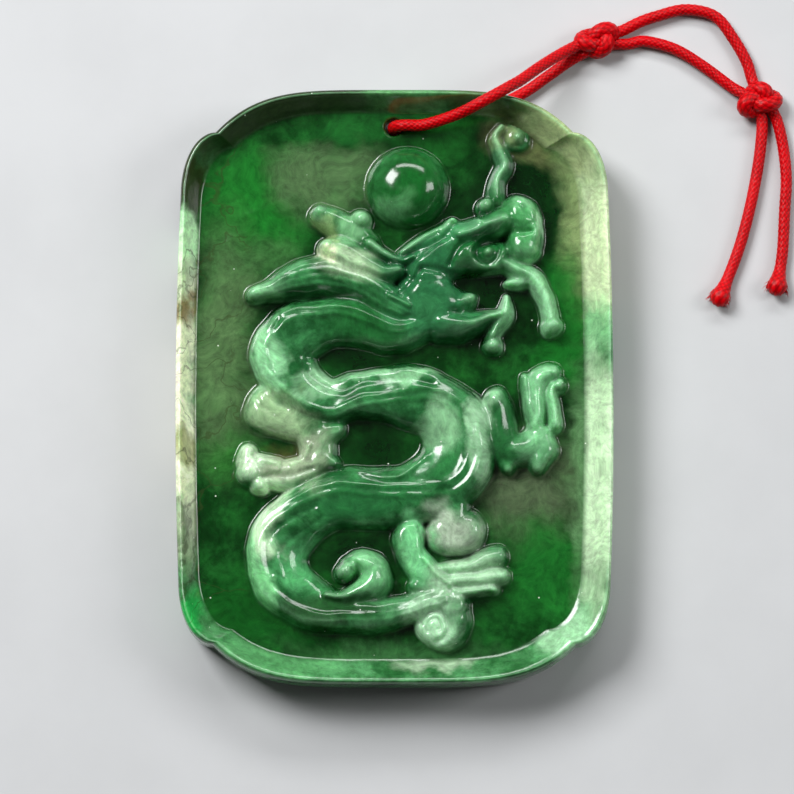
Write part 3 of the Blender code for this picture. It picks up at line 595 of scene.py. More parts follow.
def blurred(height, spread):
    # Softened by a bell of that spread, in millimetres
    reach = max(1, math.ceil(3 * spread / sheet["cell"]))
    weights = np.exp(-0.5 * (np.arange(-reach, reach + 1) * sheet["cell"] / spread) ** 2)
    weights /= weights.sum()
    for axis in (0, 1):
        pad = [(reach, reach) if axis == other else (0, 0) for other in (0, 1)]
        padded = np.pad(height, pad, mode="edge")
        size = height.shape[axis]
        height = sum(weight * np.take(padded, np.arange(k, k + size), axis=axis)
                     for k, weight in enumerate(weights))
    return height


def sheetValue(values, places):
    # The sheet read between its cells
    column = np.clip((places[:, 0] - sheetX[0]) / sheet["cell"], 0, len(sheetX) - 1.001)
    row = np.clip((places[:, 1] - sheetY[0]) / sheet["cell"], 0, len(sheetY) - 1.001)
    i, j = column.astype(int), row.astype(int)
    u, v = column - i, row - j
    return ((values[j, i] * (1 - u) + values[j, i + 1] * u) * (1 - v)
            + (values[j + 1, i] * (1 - u) + values[j + 1, i + 1] * u) * v)


handWork = {"wall": 0.62, "wander": 0.16, "fineWander": 0.035, "level": 0.05, "ridgeWidth": 0.10,
            "ridgeRise": 0.24, "ridgeSwing": 2.4, "combPower": 0.7, "leastRise": 0.1, "grooveFall": 1.4}


def handWorked(height):
    # A hand's unevenness: the edges wander a little and the tops aren't quite level
    x, y = np.meshgrid(sheetX, sheetY)
    wanderX = (handWork["wander"] * np.sin(0.7 * y + 1.1 * np.sin(0.5 * x))
               + handWork["fineWander"] * np.sin(2.3 * y - 1.4 * x))
    wanderY = (handWork["wander"] * np.sin(0.8 * x + 1.2 * np.sin(0.4 * y) + 2.0)
               + handWork["fineWander"] * np.sin(2.1 * x + 1.5 * y))
    pearlX, pearlY, pearlRadius = pearl
    calm = np.clip(np.hypot(x - pearlX, y - pearlY) / pearlRadius - 1.1, 0.0, 1.0)
    moved = sheetValue(height, np.column_stack([(x + wanderX * calm).ravel(), (y + wanderY * calm).ravel()]))
    level = 1 + handWork["level"] * calm * np.sin(0.9 * x + 0.6 * y) * np.sin(0.8 * y - 0.5 * x + 1.0)
    return moved.reshape(height.shape) * level


def carvedSheet():
    height = np.zeros((len(sheetY), len(sheetX)))
    for one in carving:
        share, side, lean = tracePath(smoothRoute(one["route"], sheet["strokeStep"]) * stretch,
                                      sheet["strokeReach"])
        section = np.clip(1 - share ** one["fullness"], 0, 1) ** handWork["wall"]
        section *= 1 - one["dish"] * np.clip(1 - share ** 2, 0, 1)
        section *= 1 + one["keel"] * (0.5 - np.clip(share, 0, 1))
        rise = plaque["reliefRise"] * one["rise"] * section * (1 + lean * side)
        for ridge in one["ridges"]:
            off = side - handWork["ridgeSwing"] * lean - ridge
            swell = handWork["ridgeRise"] * np.exp(-(off / handWork["ridgeWidth"]) ** 2)
            rise += np.where(rise > 0, swell, 0)
        if one["strands"]:
            lobes = np.abs(np.sin(math.pi * one["strands"] * (side + 1) / 2)) ** handWork["combPower"]
            combed = np.maximum(rise - one["combing"] * (1 - lobes), handWork["leastRise"])
            rise = np.where(rise > 0, combed, rise)
        height = np.maximum(height, rise)
    height = blurred(height, sheet["softness"])
    for points, depth in lines:
        share, _, _ = tracePath(smoothRoute(points, sheet["lineStep"]) * stretch[:3], sheet["lineReach"])
        groove = depth * np.exp(-handWork["grooveFall"] * share ** 2)
        height = np.maximum(height - groove, np.minimum(height, 0.0)) if depth > 0 else height - groove
    return handWorked(height)


carved = carvedSheet()
print("carving worked, highest", round(float(carved.max()), 2), "mm")


def backHeight(y):
    # The back is flat, and thinner along the hanging edge, where the cord passes behind it
    foot = boreY - plaque["backSlopeLand"] - plaque["backSlopeLength"]
    t = np.clip((np.asarray(y) - foot) / plaque["backSlopeLength"], 0.0, 1.0)
    return plaque["backLift"] * t * t * (3 - 2 * t)


rimFineness = {"shoulder": 34, "lobe": 20, "side": 52, "outer": 0.12, "cove": 0.09, "inner": 16}


def cornerLine(side, halfWidth, halfHeight, notchX, notchY):
    points = []
    for step in range(rimFineness["shoulder"]):
        share = math.sin(math.pi / 2 * step / rimFineness["shoulder"])
        points.append((side * notchX * share,
                       halfHeight - (halfHeight - notchY) * share ** plaque["shoulderPower"]))
    lobeWidth = halfWidth - plaque["sideBulge"] - notchX
    for step in range(rimFineness["lobe"]):
        turn = math.pi / 2 * step / rimFineness["lobe"]
        points.append((side * (notchX + lobeWidth * math.sin(turn)),
                       notchY - plaque["lobeLength"] * (1 - math.cos(turn))))
    foot = notchY - plaque["lobeLength"]
    for step in range(rimFineness["side"]):
        share = 1 - step / rimFineness["side"]
        points.append((side * (halfWidth - plaque["sideBulge"] * share ** 2), foot * share))
    return points


def outline(inset=0.0, share=0.0):
    # The outline, moved in by inset all round and by a share of each side's rim width
    left, right, top, bottom = (inset + share * plaque[key]
                                for key in ("rimLeft", "rimRight", "rimTop", "rimBottom"))
    halfWidth = plaque["width"] / 2
    halfHeight = plaque["height"] / 2
    loop = []
    for side, up, rimX, rimY, drop in (
            (1, 1, right, top, plaque["notchDropTop"]), (1, -1, right, bottom, plaque["notchDropBottom"]),
            (-1, -1, left, bottom, plaque["notchDropBottom"]), (-1, 1, left, top, plaque["notchDropTop"])):
        quarter = cornerLine(side, halfWidth - rimX, halfHeight - rimY,
                             halfWidth - plaque["notchInset"] - rimX, halfHeight - drop - 0.6 * rimY)
        quarter = [(x, up * y) for x, y in quarter]
        if side * up > 0:
            loop += quarter
        else:
            loop += [(side * (halfWidth - rimX), 0.0)] + quarter[:0:-1]
    return np.array(loop)


# The rim's section. Outside: how far in from the widest line, and the share of the way up to the
# crest. Inside: the share of the rim's width, and the share of the rim's rise, for the sharp edge on
# the left and top and for the soft cove on the right and bottom.
rimSection = {
    "outside": [(0.7, 0.0), (0.21, 0.08), (0.0, 0.35), (0.05, 0.82), (0.14, 0.95), (0.4, 1.0)],
    "sharp": [(0.0, 1.0), (0.14, 0.93), (0.5, 0.52), (0.86, 0.08), (1.0, 0.0)],
    "soft": [(0.0, 1.0), (0.2, 0.88), (0.5, 0.45), (0.78, 0.12), (1.0, 0.0)],
}


def sectionLine(name, step):
    return smoothRoute([(*point, 0.0, 0.0) for point in rimSection[name]], step)[:, :2]


def rimRings():
    rings = []
    for inset, share in sectionLine("outside", rimFineness["outer"]):
        loop = outline(inset=inset)
        low = backHeight(loop[:, 1])
        rings.append(np.column_stack([loop, low + (crest - low) * min(share, 1.0)]))
    sharp, soft = (sectionLine(name, rimFineness["cove"])[1:].T for name in ("sharp", "soft"))
    for share in np.linspace(0.0, 1.0, rimFineness["inner"] + 1)[1:]:
        loop = outline(inset=plaque["crestInset"] * (1 - share), share=share)
        sharpRise = np.interp(share, *sharp)
        softRise = np.interp(share, *soft)
        where = loop[:, 0] / plaque["width"] - loop[:, 1] / plaque["height"]
        softness = np.clip(0.5 + 1.6 * where, 0.0, 1.0)
        rise = sharpRise + (softRise - sharpRise) * softness
        rings.append(np.column_stack([loop, field + plaque["rimRise"] * rise]))
    return rings


def insideLoop(places, loop):
    inside = np.zeros(len(places), bool)
    for start, stop in zip(loop, np.roll(loop, -1, axis=0)):
        if start[1] == stop[1]:
            continue
        crosses = (start[1] > places[:, 1]) != (stop[1] > places[:, 1])
        meets = start[0] + (places[:, 1] - start[1]) * (stop[0] - start[0]) / (stop[1] - start[1])
        inside ^= crosses & (places[:, 0] < meets)
    return inside


def gapTo(places, points):
    # How far each place is from the nearest of the points
    gap = np.full(len(places), farAway)
    for point in points:
        gap = np.minimum(gap, np.hypot(places[:, 0] - point[0], places[:, 1] - point[1]))
    return gap


def fromBore(places):
    return np.hypot(places[:, 0] - boreX, places[:, 1] - boreY)


# The face's corners: their spacing, how many columns and rows there are to each side of the middle, how
# bent the carving is at an edge and on a form, and how high it is on a form
fineness = {"spacing": 0.12, "columns": 200, "rows": 272, "edge": 0.012, "form": 0.0012, "onForm": 0.03,
            "gap": 0.1, "back": 1.1}


def fieldPlaces(loop):
    # Corners for the face: close at the edges of the forms, wider on them, widest on the bare field
    i, j = (grid.ravel() for grid in np.meshgrid(
        *(np.arange(-fineness[key], fineness[key] + 1) for key in ("columns", "rows"))))
    places = np.column_stack([i + 0.5 * (j % 2), j]) * fineness["spacing"]
    bend = sheetValue(np.abs(carved - blurred(carved, 0.22)), places)
    on = sheetValue(blurred(carved, 0.3), places) > fineness["onForm"]
    keep = (bend > fineness["edge"]) | ((i % 2 == 0) & (j % 2 == 0) & (on | (bend > fineness["form"])))
    keep |= (i % 4 == 0) & (j % 4 == 0)
    places = places[keep]
    places = places[fromBore(places) > mouth + fineness["gap"]]
    places = places[insideLoop(places, loop)]
    return places[gapTo(places, loop) > fineness["gap"]]


def boreRing(radius, height, count=48):
    angle = np.linspace(0.0, 2 * math.pi, count, endpoint=False)
    return np.column_stack([boreX + radius * np.cos(angle), boreY + radius * np.sin(angle),
                            np.full(count, height)])


def filledFace(loop, inner, places, heightAt):
    # Triangles between the loop and the bore's ring, through the places
    corners = np.vstack([loop[:, :2], inner[:, :2], places])
    found = delaunay_2d_cdt([Vector(p) for p in corners], [], [list(range(len(loop)))], 1, 1e-7)
    order = [origins[0] for origins in found[3]]
    faces = np.array([[order[k] for k in face] for face in found[2]])
    middles = corners[faces].mean(axis=1)
    faces = faces[fromBore(middles) > fromBore(inner)[0] * 0.995]
    heights = heightAt(corners)
    heights[:len(loop)] = loop[:, 2]
    heights[len(loop):len(loop) + len(inner)] = inner[:, 2]
    return np.column_stack([corners, heights]), faces


# The polish of the field: how close and how deep its waves are, and how far from the rim they begin
polish = {"scale": 0.16, "depth": 0.06, "fade": 2.0}


def frontHeight(places):
    # The field, a little uneven as it left the polisher's hand, and the carving on it
    scale = polish["scale"]
    uneven = np.array([noise.noise(Vector((x * scale, y * scale, 3.0))) for x, y in places]) * polish["depth"]
    uneven *= np.clip(gapTo(places, innerFoot[::3]) / polish["fade"], 0.0, 1.0)
    return field + uneven + sheetValue(carved, places)


rings = rimRings()
innerFoot = rings[-1]
boreRings = [boreRing(mouth - plaque["boreMouth"] * math.sin(turn),
                      field - plaque["boreMouth"] * (1 - math.cos(turn)))
             for turn in np.linspace(0.0, math.pi / 2, 5)]
boreRings += [boreRing(plaque["boreRadius"], height) for height in (3.2, 2.8, 2.4)]
boreRings += [boreRing(mouth - plaque["boreMouth"] * math.cos(turn),
                       plaque["backLift"] + plaque["boreMouth"] * (1 - math.sin(turn)))
              for turn in np.linspace(0.0, math.pi / 2, 5)]


def gridInside(loop, spacing):
    x = np.arange(-22.0, 22.0, spacing)
    y = np.arange(-30.0, 30.0, spacing)
    places = np.array([(a + (0.5 * spacing if k % 2 else 0.0), b) for k, b in enumerate(y) for a in x])
    places = places[insideLoop(places, loop)]
    places = places[gapTo(places, loop[::2]) > 0.35 * spacing]
    return places[fromBore(places) > mouth + 0.3]


def joinRings(first, second, count):
    # Quads between two rings of the same count, given where each starts
    return [(first + k, first + (k + 1) % count, second + (k + 1) % count, second + k)
            for k in range(count)]


def makePlaque(material):
    # Rings of the rim, then the face, the bore's rings and the back, all joined into one closed skin
    places = rings[:-1]
    faces = []
    size = len(rings[0])
    start = 0
    for k in range(len(rings) - 2):
        faces += [face[::-1] for face in joinRings(start, start + size, size)]
        start += size
    frontStart = size * (len(rings) - 1)
    front, frontFaces = filledFace(innerFoot, boreRings[0], fieldPlaces(innerFoot[:, :2]), frontHeight)
    faces += [face[::-1] for face in joinRings(start, frontStart, size)]
    places.append(front)
    faces += (frontFaces + frontStart).tolist()
    boreStart = frontStart + size
    count = len(boreRings[0])
    inside = frontStart + len(front)
    previous = boreStart
    for ring in boreRings[1:-1]:
        places.append(ring)
        faces += joinRings(previous, inside, count)
        previous = inside
        inside += count
    backLoop = rings[0]
    back, backFaces = filledFace(backLoop, boreRings[-1], gridInside(backLoop[:, :2], fineness["back"]),
                                 lambda corners: backHeight(corners[:, 1]))
    backStart = inside
    mapping = np.concatenate([np.arange(size), backStart + np.arange(len(back) - size)])
    places.append(back[size:])
    faces += [tuple(mapping[k] for k in face[::-1]) for face in backFaces]
    faces += joinRings(previous, backStart, count)
    every = np.vstack(places)
    piece = addPiece("jadePlaque", every, [tuple(int(k) for k in face) for face in faces], material)
    # what the stone's colours go by: edges and hollows, which carry the painted edge light and the painted
    # hollow shade, height, the rim and the foot of the forms
    traits = {"lift": carved - blurred(carved, 0.9), "height": carved, "rim": 0.0 * carved,
              "foot": blurred(carved, 0.2) - carved}
    for title, values in traits.items():
        traits[title] = np.zeros(len(every), np.float32)
        traits[title][frontStart:frontStart + len(front)] = sheetValue(values, front[:, :2])
    outerCount = len(rings) - rimFineness["inner"]
    for k in range(len(rings) - 1):
        here = slice(k * size, (k + 1) * size)
        share = max(0.0, (k + 1 - outerCount) / rimFineness["inner"])
        traits["rim"][here] = np.interp(share, (0.0, 0.78, 1.0), (1.0, 1.0, 0.0))
        # painted light: the rim's crest rings get a high lift, so the crest is painted as a pale line
        if k > outerCount - 2:
            traits["lift"][here] = np.interp(share, (0.0, 0.05, 0.1), (0.8, 0.8, 0.0))
    for title, values in traits.items():
        piece.data.attributes.new(title, "FLOAT", "POINT").data.foreach_set("value", values)
    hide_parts("plaque")
    return piece


# The stone's colours in three layers: the sunk field, the carving on it and the rim. Some clouds are painted
# light or painted shade, as marked, and the rest are the stone's own colour. Each cloud: name, middle, half
# lengths, turn in degrees, colour and how much of it shows in its middle.
fieldClouds = [
    ("top left green", -14.5, 18.5, 7.5, 6, -30, (0.008, 0.135, 0.014), 0.95),
    ("haze by the pearl", -7, 21.5, 6, 4.5, 10, (0.072, 0.145, 0.056), 0.95),
    ("green over the pearl", -2, 27, 9, 2, 0, (0.008, 0.095, 0.014), 0.8),
    ("dark round the head", 11.5, 15.5, 7.2, 12.5, -8, (0.0006, 0.014, 0.0015), 1),
    ("upper right fade", 18.9, 16, 2.8, 10.5, 3, (0.2, 0.28, 0.115), 0.95),
    ("upper right corner fade", 14.5, 24, 3.4, 2, -35, (0.11, 0.14, 0.05), 0.9),
    ("antenna haze", 12.4, 25.6, 3.2, 2.4, 0, (0.085, 0.105, 0.04), 0.8),
    ("lower right fade", 19.2, -9, 1.5, 14, 0, (0.12, 0.27, 0.11), 0.8),
    ("left haze", -17, 3.5, 4.2, 14, 0, (0.075, 0.15, 0.056), 0.95),
    ("left green", -16, -8, 4, 3.5, 0, (0.02, 0.15, 0.02), 0.7),
    ("under the mane", -13, 13, 4.5, 3, 30, (0.04, 0.13, 0.035), 0.7),
    ("right haze", 14, -10, 5.5, 6.5, 12, (0.078, 0.118, 0.058), 0.95),
    ("right green", 17.6, 6.5, 3, 9, 4, (0.006, 0.12, 0.012), 0.9),
    ("lower left green", -14, -23, 8, 6, 25, (0.004, 0.08, 0.008), 0.95),
    ("lower right green", 14.5, -19, 6, 5, -30, (0.008, 0.12, 0.014), 0.95),
    ("foot of the field", 0, -27, 12, 1.8, 0, (0.04, 0.15, 0.045), 0.7),
    ("bore green", 4, 26, 5, 2, 0, (0.006, 0.08, 0.01), 0.9),
    ("left foot hollow", -11.2, -6.5, 2.6, 1.5, 0, (0.05, 0.06, 0.014), 0.95),
    # painted shade: the field is darkened in the three hollows that the body closes round
    ("first hollow", -5.2, 3, 4.5, 2.4, -8, (0.0008, 0.02, 0.002), 1),
    ("second hollow", -1.6, -6.2, 4.4, 3, 0, (0.0008, 0.02, 0.002), 1),
    ("third hollow", -4.6, -17.6, 5.2, 3.6, -12, (0.0008, 0.016, 0.002), 1),
]
carvingClouds = [
    ("pearl", 1.3, 20.1, 4.8, 4.8, 0, (0.006, 0.095, 0.014), 1),
    ("pearl's pale foot", -0.6, 18.4, 2.2, 1.6, 30, (0.09, 0.27, 0.11), 0.6),
    ("mane white", -4.4, 12.8, 5, 2.4, -28, (0.38, 0.54, 0.33), 0.85),
    ("mane lock white", -6.6, 14, 1.5, 1.4, 0, (0.62, 0.72, 0.46), 0.95),
    ("mane knob", -6.4, 16.8, 2.4, 1.8, -35, (0.23, 0.36, 0.15), 0.9),
    ("small knob", -3.2, 16.6, 1.8, 1.8, 0, (0.18, 0.42, 0.2), 0.8),
    ("mane tip", -13.2, 9.3, 2.2, 1.4, 0, (0.17, 0.42, 0.19), 0.8),
    ("head", 4.4, 10.5, 5.2, 6, 20, (0.018, 0.125, 0.044), 0.95),
    ("cheek", 3, 7.6, 2.6, 2, 0, (0.035, 0.2, 0.07), 0.7),
    ("crest", 7, 15.6, 2.2, 1.4, 10, (0.05, 0.26, 0.1), 0.7),
    ("eye", 9.2, 13.2, 2.4, 2, 0, (0.008, 0.09, 0.02), 0.95),
    # painted shade: the mouth's cavity is darkened
    ("mouth", 8.6, 10.5, 2.4, 1, 10, (0.003, 0.05, 0.006), 0.95),
    ("snout", 12.9, 15.9, 2.8, 3.6, 0, (0.06, 0.29, 0.09), 0.95),
    ("snout edge", 14.6, 16.9, 0.9, 2.4, 0, (0.4, 0.7, 0.44), 0.95),
    ("whiskers", 13.4, 7.6, 4.4, 5.6, 0, (0.26, 0.56, 0.3), 0.95),
    ("antenna", 11, 22, 2.6, 3.6, 0, (0.06, 0.19, 0.085), 0.9),
    ("antenna ball", 12, 25.2, 2.4, 1.8, 0, (0.19, 0.27, 0.12), 0.9),
    ("upper bend edge", -13.4, 2.6, 1.8, 5.8, 0, (0.26, 0.58, 0.3), 0.95),
    ("neck", -3.5, 5.6, 5.5, 2.2, 0, (0.01, 0.1, 0.02), 0.9),
    ("upper run cloud", -8.4, 0.2, 2.8, 2, -20, (0.26, 0.5, 0.28), 0.85),
    ("upper run edge", 0, 1.5, 8, 1, 3, (0.24, 0.52, 0.27), 0.9),
    ("upper run deep", 0.5, -0.6, 6.5, 0.9, -4, (0.018, 0.13, 0.034), 0.7),
    ("right bend edge", 9.4, -5.2, 1.3, 5.4, 6, (0.33, 0.58, 0.35), 0.9),
    ("right bend cloud", 4.9, -4.2, 2.8, 2.8, 0, (0.22, 0.45, 0.24), 0.85),
    ("right bend deep", 6.2, -8, 2.6, 1.6, 40, (0.022, 0.16, 0.042), 0.8),
    ("lower run", -2, -11.4, 7, 2.6, 0, (0.016, 0.13, 0.034), 0.92),
    # painted highlight: a broad white patch on the lower bend
    ("lower bend white", -12.4, -13.2, 2.2, 4.2, -32, (0.48, 0.68, 0.44), 0.97),
    ("lower bend edge", -14, -18.3, 1.6, 5.2, 8, (0.19, 0.54, 0.23), 0.95),
    ("lower bend cloud", -9.8, -17.4, 2.2, 3, 0, (0.09, 0.38, 0.14), 0.8),
    ("bottom run", -6.4, -22.6, 6.5, 2, 4, (0.012, 0.07, 0.016), 0.97),
    ("bottom run end", 1.2, -22.4, 3.4, 1.4, 0, (0.06, 0.2, 0.08), 0.8),
    ("curl", -3, -19.3, 3.3, 3, 0, (0.16, 0.46, 0.2), 0.95),
    ("left thigh", -11.8, -3, 3.8, 2.6, -25, (0.28, 0.43, 0.23), 0.95),
    ("left foot", -10.5, -7.6, 4.6, 3.2, 0, (0.34, 0.43, 0.28), 0.95),
    ("left toes", -14.2, -8.6, 2.2, 2.8, 0, (0.48, 0.65, 0.44), 0.92),
    ("haunch", 6.4, -14.6, 3.3, 2.8, 0, (0.34, 0.44, 0.32), 0.97),
    ("leg", 2.4, -17, 2.4, 3.4, 20, (0.17, 0.52, 0.23), 0.95),
    ("toes", 8.2, -18.9, 4.6, 2.8, 0, (0.3, 0.5, 0.31), 0.97),
    ("tail disc", 4.9, -23.6, 3.2, 3.2, 0, (0.34, 0.58, 0.36), 0.97),
    ("right arm", 11.4, -4.6, 2.6, 4.2, 0, (0.015, 0.11, 0.028), 0.95),
    ("right claw", 15.3, -2.6, 2.7, 6.4, 0, (0.19, 0.47, 0.23), 0.95),
]
rimClouds = [
    # painted shade: the rim's steep inner slope is darkened along the top and top left
    ("top dark", -11, 27.5, 12.5, 4.6, 8, (0.014, 0.03, 0.007), 1),
    ("top left side dark", -20.8, 21.5, 2.6, 6.5, 0, (0.022, 0.036, 0.008), 1),
    ("top middle", 1, 29.2, 4.5, 1.6, 0, (0.07, 0.21, 0.07), 0.9),
    ("top right olive", 10.5, 28.2, 5.5, 2.2, -8, (0.06, 0.085, 0.022), 0.9),
    ("top right pale", 17.5, 25, 4, 5, 30, (0.3, 0.38, 0.18), 0.95),
    # painted light: the two pale clouds on the right rim stand for the soft cove that faces the light
    ("right upper pale", 20.5, 14, 3.4, 9.5, 0, (0.54, 0.66, 0.4), 1),
    ("right green", 20.4, 5.5, 2.4, 3.6, 0, (0.15, 0.44, 0.19), 0.8),
    ("right lower pale", 20.6, -9, 3, 13.5, 0, (0.52, 0.72, 0.46), 1),
    # painted light: the mint and white clouds on the left rim stand for light glowing through the thin stone
    ("left mint", -21.2, 14.2, 2.4, 2.8, 0, (0.48, 0.8, 0.46), 0.97),
    ("left white", -21.2, -1.5, 2.6, 14.5, 0, (0.86, 0.92, 0.64), 1),
    ("left stain", -20.9, 8.4, 1.4, 1.5, 0, (0.2, 0.13, 0.03), 0.85),
    ("left small stain", -19.2, 13, 0.6, 1, 0, (0.24, 0.15, 0.03), 0.8),
    ("left olive", -21, -6.6, 1.8, 2, 0, (0.3, 0.32, 0.11), 0.8),
    ("left low stain", -19.4, -18.6, 0.7, 2.6, 0, (0.22, 0.16, 0.05), 0.7),
    ("left emerald", -20.6, -24, 2.6, 4.2, 0, (0.014, 0.33, 0.06), 0.95),
    ("bottom left", -12, -28.4, 7, 2, 0, (0.09, 0.3, 0.11), 0.8),
    ("bottom pale", 5, -27.8, 3.6, 1.6, 0, (0.3, 0.44, 0.28), 0.85),
    ("bottom right mint", 17.5, -24.5, 4, 3.6, -40, (0.3, 0.56, 0.32), 0.9),
    ("bottom vein", -0.4, -28.2, 0.7, 1.8, 20, (0.02, 0.11, 0.03), 0.8),
]
stone = {
    "field": {"edge": 0.8, "dark": (0.0012, 0.03, 0.003), "light": (0.007, 0.085, 0.011),
              "clouds": fieldClouds},
    "carving": {"edge": 0.65, "dark": (0.01, 0.085, 0.02), "light": (0.04, 0.2, 0.065),
                "clouds": carvingClouds},
    "rim": {"edge": 0.6, "dark": (0.02, 0.12, 0.03), "light": (0.07, 0.24, 0.09),
            "clouds": rimClouds},
    # the pale colour for edges is painted light, and the dark colour for hollows is painted shade
    "paintedEdgeLight": (0.3, 0.6, 0.34), "paintedHollowShade": (0.002, 0.03, 0.004), "crack": (0.03, 0.045, 0.012),
    # the sparkle colour is painted glints
    "cloudReach": 1.25, "paintedGlint": (0.85, 0.92, 0.8), "roughness": (0.12, 0.2), "dullHollow": 0.27,
    "scatter": 1.3, "scatterShare": 0.6, "scatterReach": (0.45, 1.0, 0.5), "ior": 1.60, "specular": 0.42,
    # how far noise shifts the clouds, broad and fine, in metres
    "broadShift": (0.008, 0.008, 0.0), "fineShift": (0.003, 0.003, 0.0),
    # noise scales, per metre
    "broad": 120.0, "fine": 520.0, "mottle": 300.0, "fleck": 1300.0, "crackScale": 150.0, "speckScale": 620.0,
    "waves": 620.0,
    # the cracked left edge: where the cracks end, and where they are full, in millimetres
    "crackFrom": -16.5, "crackTo": -14.0,
}


def stoneLayer(desk, layer, bent, mottle):
    reach = stone["cloudReach"]
    colour = desk.mix(desk.ramp(mottle, 0.34, 0.68), layer["dark"], layer["light"])
    for name, x, y, halfLong, halfWide, turn, tint, strength in layer["clouds"]:
        cloud = desk.add("ShaderNodeTexGradient", gradient_type="SPHERICAL", label=name)
        desk.put(cloud.inputs["Vector"], bent)
        cloud.texture_mapping.vector_type = "TEXTURE"
        cloud.texture_mapping.translation = (x * mm, y * mm, 0.0)
        cloud.texture_mapping.rotation = (0.0, 0.0, math.radians(turn))
        cloud.texture_mapping.scale = (reach * halfLong * mm, reach * halfWide * mm, 1.0)
        colour = desk.mix(desk.ramp(cloud.outputs["Fac"], 0.0, layer["edge"], 0.0, strength), colour, tint)
    return colour


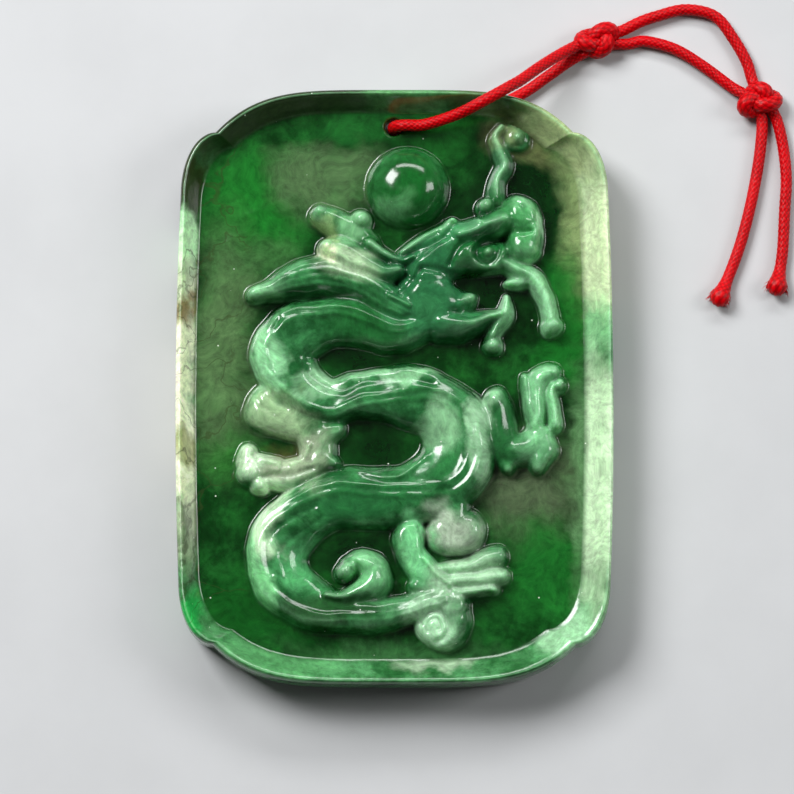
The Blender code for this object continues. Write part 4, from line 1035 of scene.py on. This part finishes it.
def greenJade():
    desk = NodeDesk("greenJade")
    place = desk.add("ShaderNodeTexCoord").outputs["Object"]
    middle = (0.5, 0.5, 0.5)
    broad, fine = (desk.noise(place, stone[key], detail=3.0, colour=True) for key in ("broad", "fine"))
    shift = desk.vector("MULTIPLY", desk.vector("SUBTRACT", broad, middle), stone["broadShift"])
    shiftFine = desk.vector("MULTIPLY", desk.vector("SUBTRACT", fine, middle), stone["fineShift"])
    bent = desk.vector("ADD", desk.vector("ADD", place, shift), shiftFine)
    bent = desk.vector("MULTIPLY", bent, (1.0, 1.0, 0.0))
    mottle = desk.noise(place, stone["mottle"], detail=5.0, roughness=0.65)
    lift = desk.attribute("lift")
    ground, figure, border = (stoneLayer(desk, stone[key], bent, mottle)
                              for key in ("field", "carving", "rim"))
    colour = desk.mix(desk.ramp(desk.attribute("height"), 0.04, 0.7), ground, figure)
    colour = desk.mix(desk.attribute("rim"), colour, border)
    # painted light: the edges of the forms and the rim's crest are mixed towards a pale colour
    edgeLitColour = desk.vector("MAXIMUM", colour, stone["paintedEdgeLight"])
    colour = desk.mix(desk.ramp(lift, 0.25, 1.2, 0.0, 0.5), colour, edgeLitColour)
    # painted shade: hollows, grooves and the foot of the forms are mixed towards a dark colour
    colour = desk.mix(desk.ramp(lift, -1.0, -0.15, 0.1, 0.0), colour, stone["paintedHollowShade"])
    # finer flecks of light and dark in the stone
    fleck = desk.noise(desk.vector("ADD", place, shift), stone["fleck"], detail=4.0, roughness=0.7)
    tone = desk.math("MULTIPLY", desk.ramp(fleck, 0.3, 0.7, 0.70, 1.35, smooth=False),
                     desk.ramp(mottle, 0.3, 0.7, 0.85, 1.2, smooth=False))
    colour = desk.vector("SCALE", colour, (0.0, 0.0, 0.0), (0.0, 0.0, 0.0), tone)
    # fine cracks in the left edge
    crazed = desk.add("ShaderNodeTexVoronoi", feature="DISTANCE_TO_EDGE")
    desk.put(crazed.inputs["Vector"], desk.vector("ADD", bent, shift))
    desk.put(crazed.inputs["Scale"], stone["crackScale"])
    leftSide = desk.ramp(desk.vector("DOT_PRODUCT", bent, (1.0, 0.0, 0.0), out=1),
                         stone["crackFrom"] * mm, stone["crackTo"] * mm, 1.0, 0.0)
    where = desk.math("MULTIPLY", leftSide, desk.ramp(crazed.outputs["Distance"], 0.004, 0.022, 0.5, 0.0))
    colour = desk.mix(where, colour, stone["crack"])
    # painted glints: scattered pale specks
    specks = desk.add("ShaderNodeTexVoronoi", feature="F1")
    desk.put(specks.inputs["Vector"], place)
    desk.put(specks.inputs["Scale"], stone["speckScale"])
    chosen = desk.math("MULTIPLY", desk.ramp(specks.outputs["Distance"], 0.025, 0.06, 1.0, 0.0),
                       desk.math("GREATER_THAN", desk.vector("DOT_PRODUCT", specks.outputs["Color"],
                                                             (1.0, 0.0, 0.0), out=1), 0.5))
    colour = desk.mix(desk.math("MULTIPLY", chosen, 0.8), colour, stone["paintedGlint"])
    # the polish doesn't reach into the corners at the foot of the carving
    roughness = desk.math("MAXIMUM", desk.ramp(mottle, 0.3, 0.8, *stone["roughness"], smooth=False),
                          desk.ramp(desk.attribute("foot"), 0.02, 0.14, 0.1, stone["dullHollow"]))
    return desk.fill({
        "Base Color": colour, "Roughness": roughness, "IOR": stone["ior"],
        "Specular IOR Level": stone["specular"], "Subsurface Weight": stone["scatterShare"],
        "Subsurface Radius": stone["scatterReach"], "Subsurface Scale": stone["scatter"] * mm,
        "Normal": desk.bump(desk.noise(place, stone["waves"], detail=2.0), 0.00008, 0.5)})


jadePlaque = makePlaque(greenJade())
print("plaque made,", sum(len(face.vertices) - 2 for face in jadePlaque.data.polygons), "triangles")

# Floor and light: a pale floor, a window-like softbox at the upper left, a strip above, a weak fill
studio = {"floor": (0.50, 0.51, 0.52), "world": 0.07, "roughness": 0.7, "reach": 1.5, "drop": 0.00001}
lights = [
    # name, place, size and power; each lamp looks at the middle of the plaque
    ("window", (-330.0, 300.0, 480.0), (250.0, 310.0), 5.1),
    ("strip", (60.0, 520.0, 420.0), (640.0, 120.0), 2.4),
    ("fill", (420.0, 80.0, 320.0), (160.0, 240.0), 1.0),
]


def makeStudio():
    desk = NodeDesk("paleFloor")
    place = desk.add("ShaderNodeTexCoord").outputs["Object"]
    grain = desk.noise(place, 60.0, detail=6.0, roughness=0.6)
    tone = studio["floor"]
    desk.fill({"Base Color": desk.mix(desk.ramp(grain, 0.3, 0.7), tuple(0.95 * c for c in tone), tone),
               "Roughness": studio["roughness"]})
    mesh = bpy.data.meshes.new("floor")
    reach = studio["reach"]
    mesh.from_pydata([(-reach, -reach, 0.0), (reach, -reach, 0.0), (reach, reach, 0.0), (-reach, reach, 0.0)],
                     [], [(0, 1, 2, 3)])
    mesh.materials.append(desk.material)
    floor = addObject("floor", mesh)
    floor.location = (0.0, 0.0, -studio["drop"])
    for name, place, size, power in lights:
        lamp = bpy.data.lights.new(name, "AREA")
        lamp.shape = "RECTANGLE"
        lamp.size, lamp.size_y = size[0] * mm, size[1] * mm
        lamp.energy = power
        holder = addObject(name, lamp)
        holder.location = Vector(place) * mm
        holder.rotation_euler = (-holder.location).to_track_quat("-Z", "Y").to_euler()
    world = bpy.data.worlds.new("studio")
    world.use_nodes = True
    sky = world.node_tree.nodes["Background"].inputs
    sky["Color"].default_value = (1.0, 1.0, 1.0, 1.0)
    sky["Strength"].default_value = studio["world"]
    scene.world = world
    scene.view_settings.view_transform = "Standard"


makeStudio()
print("studio lit")
